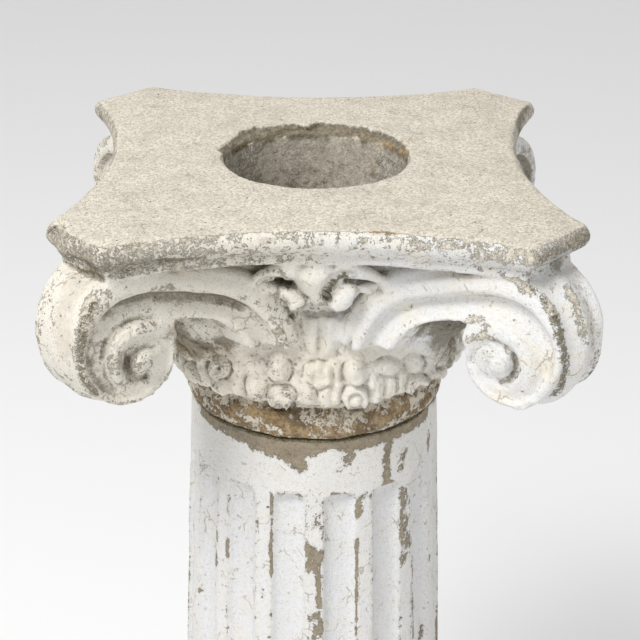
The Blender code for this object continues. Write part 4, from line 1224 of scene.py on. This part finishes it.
points = points + outward * (move * over(height, 0.001, 0.003))[:, None]
set_corners(capital.data, points)
chip(capital.data, rounds=10, reach=0.0016, size=0.022, seed=25, bite=0.0024)

# The back of the hole's rim has broken away in a ragged ledge, seen at these picture points
BROKEN_RIM = (
    (219, 149), (228, 143), (236, 137), (242, 131), (258, 126), (274, 126), (291, 123.5), (300, 125),
    (306, 126), (312, 124), (318, 122), (332, 123), (350, 125), (366, 127), (380, 131), (392, 136),
    (403, 145), (405, 158),
)
RIM_FALL_DEPTH = 0.022


def broken_in(points):
    """How far each corner lies inside the ragged line."""
    knots = [(-0.15, BORE_RADIUS - 0.002)]
    for x, y in BROKEN_RIM[::-1]:
        sight = sight_to(x, y)
        place = camera_place + sight * ((CAPITAL_TOP - camera_place.z) / sight.z)
        knots.append((math.atan2(place.y, place.x), math.hypot(place.x, place.y) + 0.0015))
    knots.append((3.12, BORE_RADIUS - 0.002))
    turn = np.arctan2(points[:, 1], points[:, 0])
    whole = BORE_RADIUS - 0.003
    ragged = np.interp(turn, *zip(*knots), whole, whole)
    ragged += 0.0013 * lumps(points, 0.006, 31, 3) * (ragged > BORE_RADIUS)
    return ragged - np.hypot(points[:, 0], points[:, 1])


points, outward, pairs = corners_of(capital.data)
height = points[:, 2]
inside = broken_in(points)
broken = ramp(inside, -0.0004, 0.0012)
drop = broken * (0.0030 + 0.0040 * np.clip(inside / 0.012, 0, 1) + 0.0011 * lumps(points, 0.006, 32, 3))
points[:, 2] = height - drop * np.clip(1 - (CAPITAL_TOP - height) / RIM_FALL_DEPTH, 0, 1)
points[:, :2] = np.clip(points[:, :2], -CAPITAL_SIDE_LIMIT, CAPITAL_SIDE_LIMIT)
points[:, 2] = np.clip(points[:, 2], CAPITAL_FOOT, CAPITAL_TOP)
set_corners(capital.data, points)
thinned = capital.modifiers.new("thinned", "DECIMATE")
triangles = sum(len(face.vertices) - 2 for face in capital.data.polygons)
thinned.ratio = min(1.0, CAPITAL_TRIANGLES / triangles)
settle(capital)
# Round the hole the thinned faces are long, and are cut shorter so that stains can end inside them
bm = bmesh.new()
bm.from_mesh(capital.data)
for _ in range(HOLE_CUTS):
    round_hole = [
        vert for vert in bm.verts
        if vert.co.xy.length < HOLE_REACH and vert.co.z > CAPITAL_TOP - HOLE_DEPTH
    ]
    around = {edge for vert in round_hole for edge in vert.link_edges if edge.calc_length() > HOLE_EDGE}
    bmesh.ops.subdivide_edges(bm, edges=list(around), cuts=1)
    bmesh.ops.triangulate(bm, faces=[face for face in bm.faces if len(face.verts) > 3])
bm.to_mesh(capital.data)
bm.free()
capital.data.shade_smooth()


def open_sky(mesh, forms):
    """How much of the sky each corner sees, from 0 under cover to 1 in the open."""
    points, outward, _ = corners_of(mesh)
    ways = []
    for lift, count, offset in ((12, 6, 0.0), (40, 5, 0.0), (72, 3, 0.5)):
        level, upward = math.cos(math.radians(lift)), math.sin(math.radians(lift))
        turns = [2 * math.pi * (i + offset) / count for i in range(count)]
        ways += [Vector((level * math.cos(turn), level * math.sin(turn), upward)) for turn in turns]
    seen = np.empty(len(points))
    for n, (place, out) in enumerate(zip(points.tolist(), outward.tolist())):
        out = Vector(out)
        start = Vector(place) + out * 0.0015
        total = 0.0
        for way in ways:
            facing = out.dot(way)
            if facing > 0 and forms.ray_cast(start, way, 0.3)[0] is None:
                total += facing
        seen[n] = total
    return seen / len(ways)


def edge_line(height, radius, depth, spread):
    """1 at a depth below the slab's top on its outer edge, and next to nothing two spreads away."""
    return np.exp(-(((height - CAPITAL_TOP + depth) / spread) ** 2)) * ramp(radius, 0.150, 0.155)


forms = forms_of(capital.data)
points, outward, pairs = corners_of(capital.data)
sky = evened(open_sky(capital.data, forms)[:, None], pairs, 1)[:, 0]
height, radius = points[:, 2], np.hypot(points[:, 0], points[:, 1])
fine, wide = edges_and_hollows(capital.data, 4), edges_and_hollows(capital.data, 24)
on_outside = ramp(radius, 0.0895, 0.0905)
on_ring = (1 - over(height, 0.033, 0.037)) * on_outside * (1 - ramp(radius, 0.137, 0.142))
# A dark line in the groove under the slab's roll: crust, and painted shade.
in_groove = edge_line(height, radius, ROLL_HEIGHT + 0.0010, 0.0016)
on_garland = over_bell_foot(height, -0.004, 0.002) * (1 - over_bell_foot(height, 0.055, 0.075))
on_garland *= (1 - ramp(radius, 0.156, 0.166)) * on_outside
on_slab_edge = ramp(height, SLAB_UNDERSIDE - 0.002, SLAB_UNDERSIDE + 0.002) * on_outside
ledge = ramp(broken_in(points), -0.0004, 0.0012) * ramp(CAPITAL_TOP - height, 0.0008, 0.0025)
ledge *= under_top(height + 0.0015 * lumps(points, 0.008, 46, 3), 0.011, 0.007)
on_top = ramp(outward[:, 2], 0.84, 0.95) * under_top(height, 0.012, 0.007) * on_outside * (1 - ledge)
on_bare_arris = under_top(height, 0.0020, 0.0006) * on_outside
arris = edge_line(height, radius, 0.0016, 0.0012)
to_right = ramp(points[:, 0], -0.03, 0.06)
# The cuts' last column darkens them: dirt, and painted shade in the cuts.
dug = [
    strongest(places, forms, [(path, half_width, dirt_and_shade) for path, half_width, _, dirt_and_shade in rows if dirt_and_shade], 1.1)
    for places, rows in ((folded(points), WORKED), (points, HORN_WORK))
]
dug_dirt_and_shade = np.maximum(*dug)
# Stains, painted shade and painted light on the front, as picture points, half width in
# millimetres and amount
LICHEN_AND_SHADE = (
    (((98, 300), (88, 313), (83, 330)), 7, 0.42),
    (((83, 330), (80, 350), (79, 365), (83, 381), (94, 394)), 9, 0.58),
    (((42, 366), (55, 381), (75, 396)), 7, 0.38),
    (((529, 287), (545, 300), (556, 320)), 6, 0.42),
    (((556, 320), (563, 345), (565, 368), (560, 385), (553, 395)), 8.5, 0.64),
    (((582, 381), (592, 372), (599, 355)), 9, 0.42),
    (((516, 378), (521, 370)), 5, 0.55),
    (((522, 391),), 4, 0.6),
    (((126, 350), (125, 360)), 4, 0.45),
    (((118, 366), (110, 372)), 4, 0.4),
    (((585, 240), (590, 250)), 10, 0.36),
    # Painted shade, with lichen, in the leaf's hooked recess and its pit.
    (((327, 299), (328, 288), (334, 280), (344, 275)), 7, 0.42),
    (((281, 279), (289, 281)), 5, 0.4),
    # A painted shadow line in the gap under the ragged broken rim.
    (((223, 156), (236, 148), (251, 141), (274, 136), (285, 129), (300, 128.5), (309, 130.5), (318, 125)),
     2.6, 1.0),
    (((402, 141), (415, 138)), 3, 0.4),
)
# Dirt, and painted shade on the webs under the front scrolls and on the back right scroll and slab edge.
DIRT_AND_SHADE_PATHS = (
    (((174, 332), (180, 345), (190, 350), (208, 345), (224, 345)), 16, 0.52),
    (((176, 340), (176, 356)), 12, 0.4),
    (((442, 324), (450, 323), (455, 330), (455, 340)), 36, 0.62),
    (((447, 345), (449, 362), (444, 376)), 24, 0.34),
    (((556, 262), (572, 282)), 12, 0.36),
    (((100, 318), (118, 306), (140, 298), (170, 294), (205, 294), (235, 303)), 13, 0.40),
    (((98, 340), (95, 365), (104, 388)), 12, 0.34),
    (((120, 320), (150, 312), (180, 308)), 14, 0.26),
    (((60, 262), (80, 272), (100, 281), (130, 277)), 6, 0.34),
    (((545, 262), (570, 250), (590, 238)), 16, 0.36),
    (((370, 330), (378, 305), (400, 292)), 8, 0.22),
    (((575, 285), (588, 312), (594, 345), (588, 372)), 16, 0.46),
    (((434, 390), (424, 404)), 10, 0.5),
    (((519, 135), (524, 150), (530, 165), (531, 180)), 16, 0.55),
    (((526, 106), (518, 125)), 9, 0.45),
    (((101, 118), (104, 132)), 9, 0.35),
    (((55, 232), (100, 262), (130, 262), (200, 258)), 12, 0.16),
)
BARE_SPOTS = (
    (((467, 320), (478, 318), (486, 324)), 8, 0.42),
    (((470, 340), (484, 336), (500, 342), (508, 350)), 6, 0.40),
    (((535, 382),), 7, 0.45),
    (((545, 300), (556, 316)), 8, 0.42),
    (((510, 283), (530, 290)), 7, 0.38),
    (((570, 290), (578, 310), (584, 340)), 9, 0.32),
    (((90, 300), (86, 330)), 8, 0.3),
)
# Paint made whiter and grime taken off: clean paint, and painted light on the leaf and the bands under the
# slab's edge, which lie in the slab's shade.
CLEAN_AND_PAINTED_LIGHT = (
    (((298, 264), (318, 262), (345, 267)), 20, 0.9),
    (((318, 275), (318, 296)), 13, 0.9),
    (((288, 292), (298, 302)), 9, 0.8),
    (((352, 290), (340, 302)), 9, 0.8),
    (((130, 276), (170, 266), (210, 264), (245, 268)), 7, 0.9),
    (((120, 286), (150, 278), (180, 274), (215, 276), (245, 284)), 9, 0.4),
    (((395, 283), (430, 278), (480, 280), (510, 290)), 12, 0.5),
    (((300, 262), (275, 269), (258, 276)), 8, 0.5),
    (((340, 264), (360, 270), (380, 278)), 8, 0.5),
    (((205, 318), (225, 331), (243, 350)), 6, 0.35),
    (((125, 390), (145, 397), (165, 385)), 8, 0.3),
    (((390, 310), (430, 300), (480, 300), (520, 320), (540, 350)), 16, 0.3),
)
RUSTY = (
    (((262, 242), (272, 240)), 4, 0.9),
    (((236, 247), (240, 243)), 3, 0.8),
    (((370, 233), (392, 234)), 4, 0.45),
    (((124, 246), (140, 244)), 4, 0.45),
    (((318, 130), (345, 131), (375, 138), (395, 149)), 5, 0.3),
    (((392, 150), (402, 156), (402, 168)), 7, 0.32),
    (((76, 284), (68, 300), (62, 320), (66, 350)), 22, 0.60),
    (((405, 141), (420, 139)), 10, 0.36),
    (((404, 151), (424, 153)), 12, 0.44),
    (((404, 163), (426, 166)), 10, 0.40),
    (((174, 332), (180, 345), (190, 350), (208, 350), (225, 354)), 16, 0.55),
)
lichen_and_shade, dirty_and_shaded, bare_spots, clean_and_painted_light, rusty = (
    strongest(points, forms, rows) for rows in (LICHEN_AND_SHADE, DIRT_AND_SHADE_PATHS, BARE_SPOTS, CLEAN_AND_PAINTED_LIGHT, RUSTY)
)
in_bore = 1 - on_outside
paint = 0.88 + 0.26 * to_right + 0.02 * on_garland - 0.22 * ramp(fine, 0.0001, 0.0006)
paint += 0.20 * lumps(points, 0.035, 41, 2) * (1 - 0.8 * on_garland) + 0.6 * clean_and_painted_light
low_edge = 1 - under_top(height, 0.024, 0.010)
middle_edge = np.exp(-((points[:, 0] / 0.12) ** 2)) * (points[:, 1] < 0)
edge_paint = 0.42 - 0.40 * on_bare_arris + 0.25 * low_edge * to_right + 0.22 * middle_edge
paint = paint * (1 - on_slab_edge) + on_slab_edge * edge_paint
ring_paint = 0.50 + 0.22 * lumps(points * (1, 1, 2.5), 0.02, 43, 2)
paint = paint * (1 - on_ring) + on_ring * ring_paint
bore_paint = 0.26 + 0.32 * lumps(points, 0.045, 45, 2)
paint = paint * (1 - on_top) * on_outside - 0.4 * on_top + in_bore * bore_paint
paint -= 1.6 * bare_spots + 0.8 * ledge
# Grime under cover and in wide hollows is partly painted shade: it darkens the webs and the recesses under
# the slab.
grime_and_shade = 0.05 + 0.45 * (1 - ramp(sky, 0.02, 0.12)) * (1 - 0.2 * to_right) + 0.60 * dug_dirt_and_shade
grime_and_shade += 0.36 * ramp(-wide, 0.0003, 0.0022) * (1 - 0.3 * to_right)
grime_and_shade += 0.20 * on_slab_edge * (1 - 0.6 * to_right) * (1 - middle_edge)
grime_and_shade = grime_and_shade * (1 - on_top) - 0.30 * on_top
# The broken ledge is darkened by dirt, and by painted shade under its ragged lip.
grime_and_shade += 0.22 * in_bore + dirty_and_shaded + 0.78 * ledge - 0.25 * clean_and_painted_light
rust = 0.02 + 0.70 * on_ring + 0.16 * on_garland + 0.05 * lumps(points, 0.05, 8) + rusty + 0.16 * ledge
rust += arris * (0.16 + 0.22 * lumps(points, 0.04, 47, 2))
rust += 0.30 * in_bore * ramp(lumps(points, 0.05, 48, 2), 0.0, 0.6)
mark(capital.data, "paint", paint)
mark(capital.data, "grime_and_shade", grime_and_shade)
mark(capital.data, "ochre", rust)
# The lichen mark also takes painted shade: the dirt of the cuts and the groove line.
mark(capital.data, "lichen_and_shade", lichen_and_shade + 0.25 * dug_dirt_and_shade + 0.40 * in_groove)
mark(capital.data, "warmth", 0.85 - 0.70 * to_right + 0.5 * on_garland + on_ring + 0.6 * in_bore)
capital.data.materials.append(painted_stone("capital_stone", *CAPITAL_STONE, *CAPITAL_PAINT))
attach(capital, "root")
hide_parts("capital")

# Floor and light
# A wide pale floor under soft studio light: an even dome, a large soft lamp at the upper left and a
# weak one low on the right.
FLOOR_HALF_WIDTH = 20.0
FLOOR_COLOUR = (0.93, 0.93, 0.93, 1.0)
DOME_COLOUR = (1.0, 1.0, 1.0, 1.0)
DOME_STRENGTH = 0.655

bm = bmesh.new()
bmesh.ops.create_grid(bm, x_segments=8, y_segments=8, size=FLOOR_HALF_WIDTH)
floor = finished("floor", bm)
floor_finish = Finish("pale_floor")
shader = floor_finish.node("ShaderNodeBsdfPrincipled", {}, {"Base Color": FLOOR_COLOUR, "Roughness": 0.9})
floor_finish.node("ShaderNodeOutputMaterial", {}, {"Surface": shader})
floor.data.materials.append(floor_finish.material)

world = bpy.data.worlds.new("studio")
world.use_nodes = True
world.node_tree.nodes["Background"].inputs["Color"].default_value = DOME_COLOUR
world.node_tree.nodes["Background"].inputs["Strength"].default_value = DOME_STRENGTH
bpy.context.scene.world = world


def soft_lamp(name, place, aim, size, power):
    data = bpy.data.lights.new(name, "AREA")
    data.shape = "SQUARE"
    data.size = size
    data.energy = power
    lamp = bpy.data.objects.new(name, data)
    lamp.location = place
    lamp.rotation_euler = (Vector(aim) - Vector(place)).to_track_quat("-Z", "Y").to_euler()
    lamp.visible_camera = False
    bpy.context.scene.collection.objects.link(lamp)


soft_lamp("key_lamp", place=(-1.7, -2.1, 4.4), aim=(0, 0, 0.9), size=1.5, power=150.0)
soft_lamp("fill_lamp", place=(1.1, -2.4, 0.35), aim=(0, 0, 1.05), size=1.6, power=6.0)
bpy.context.scene.view_settings.view_transform = "Standard"
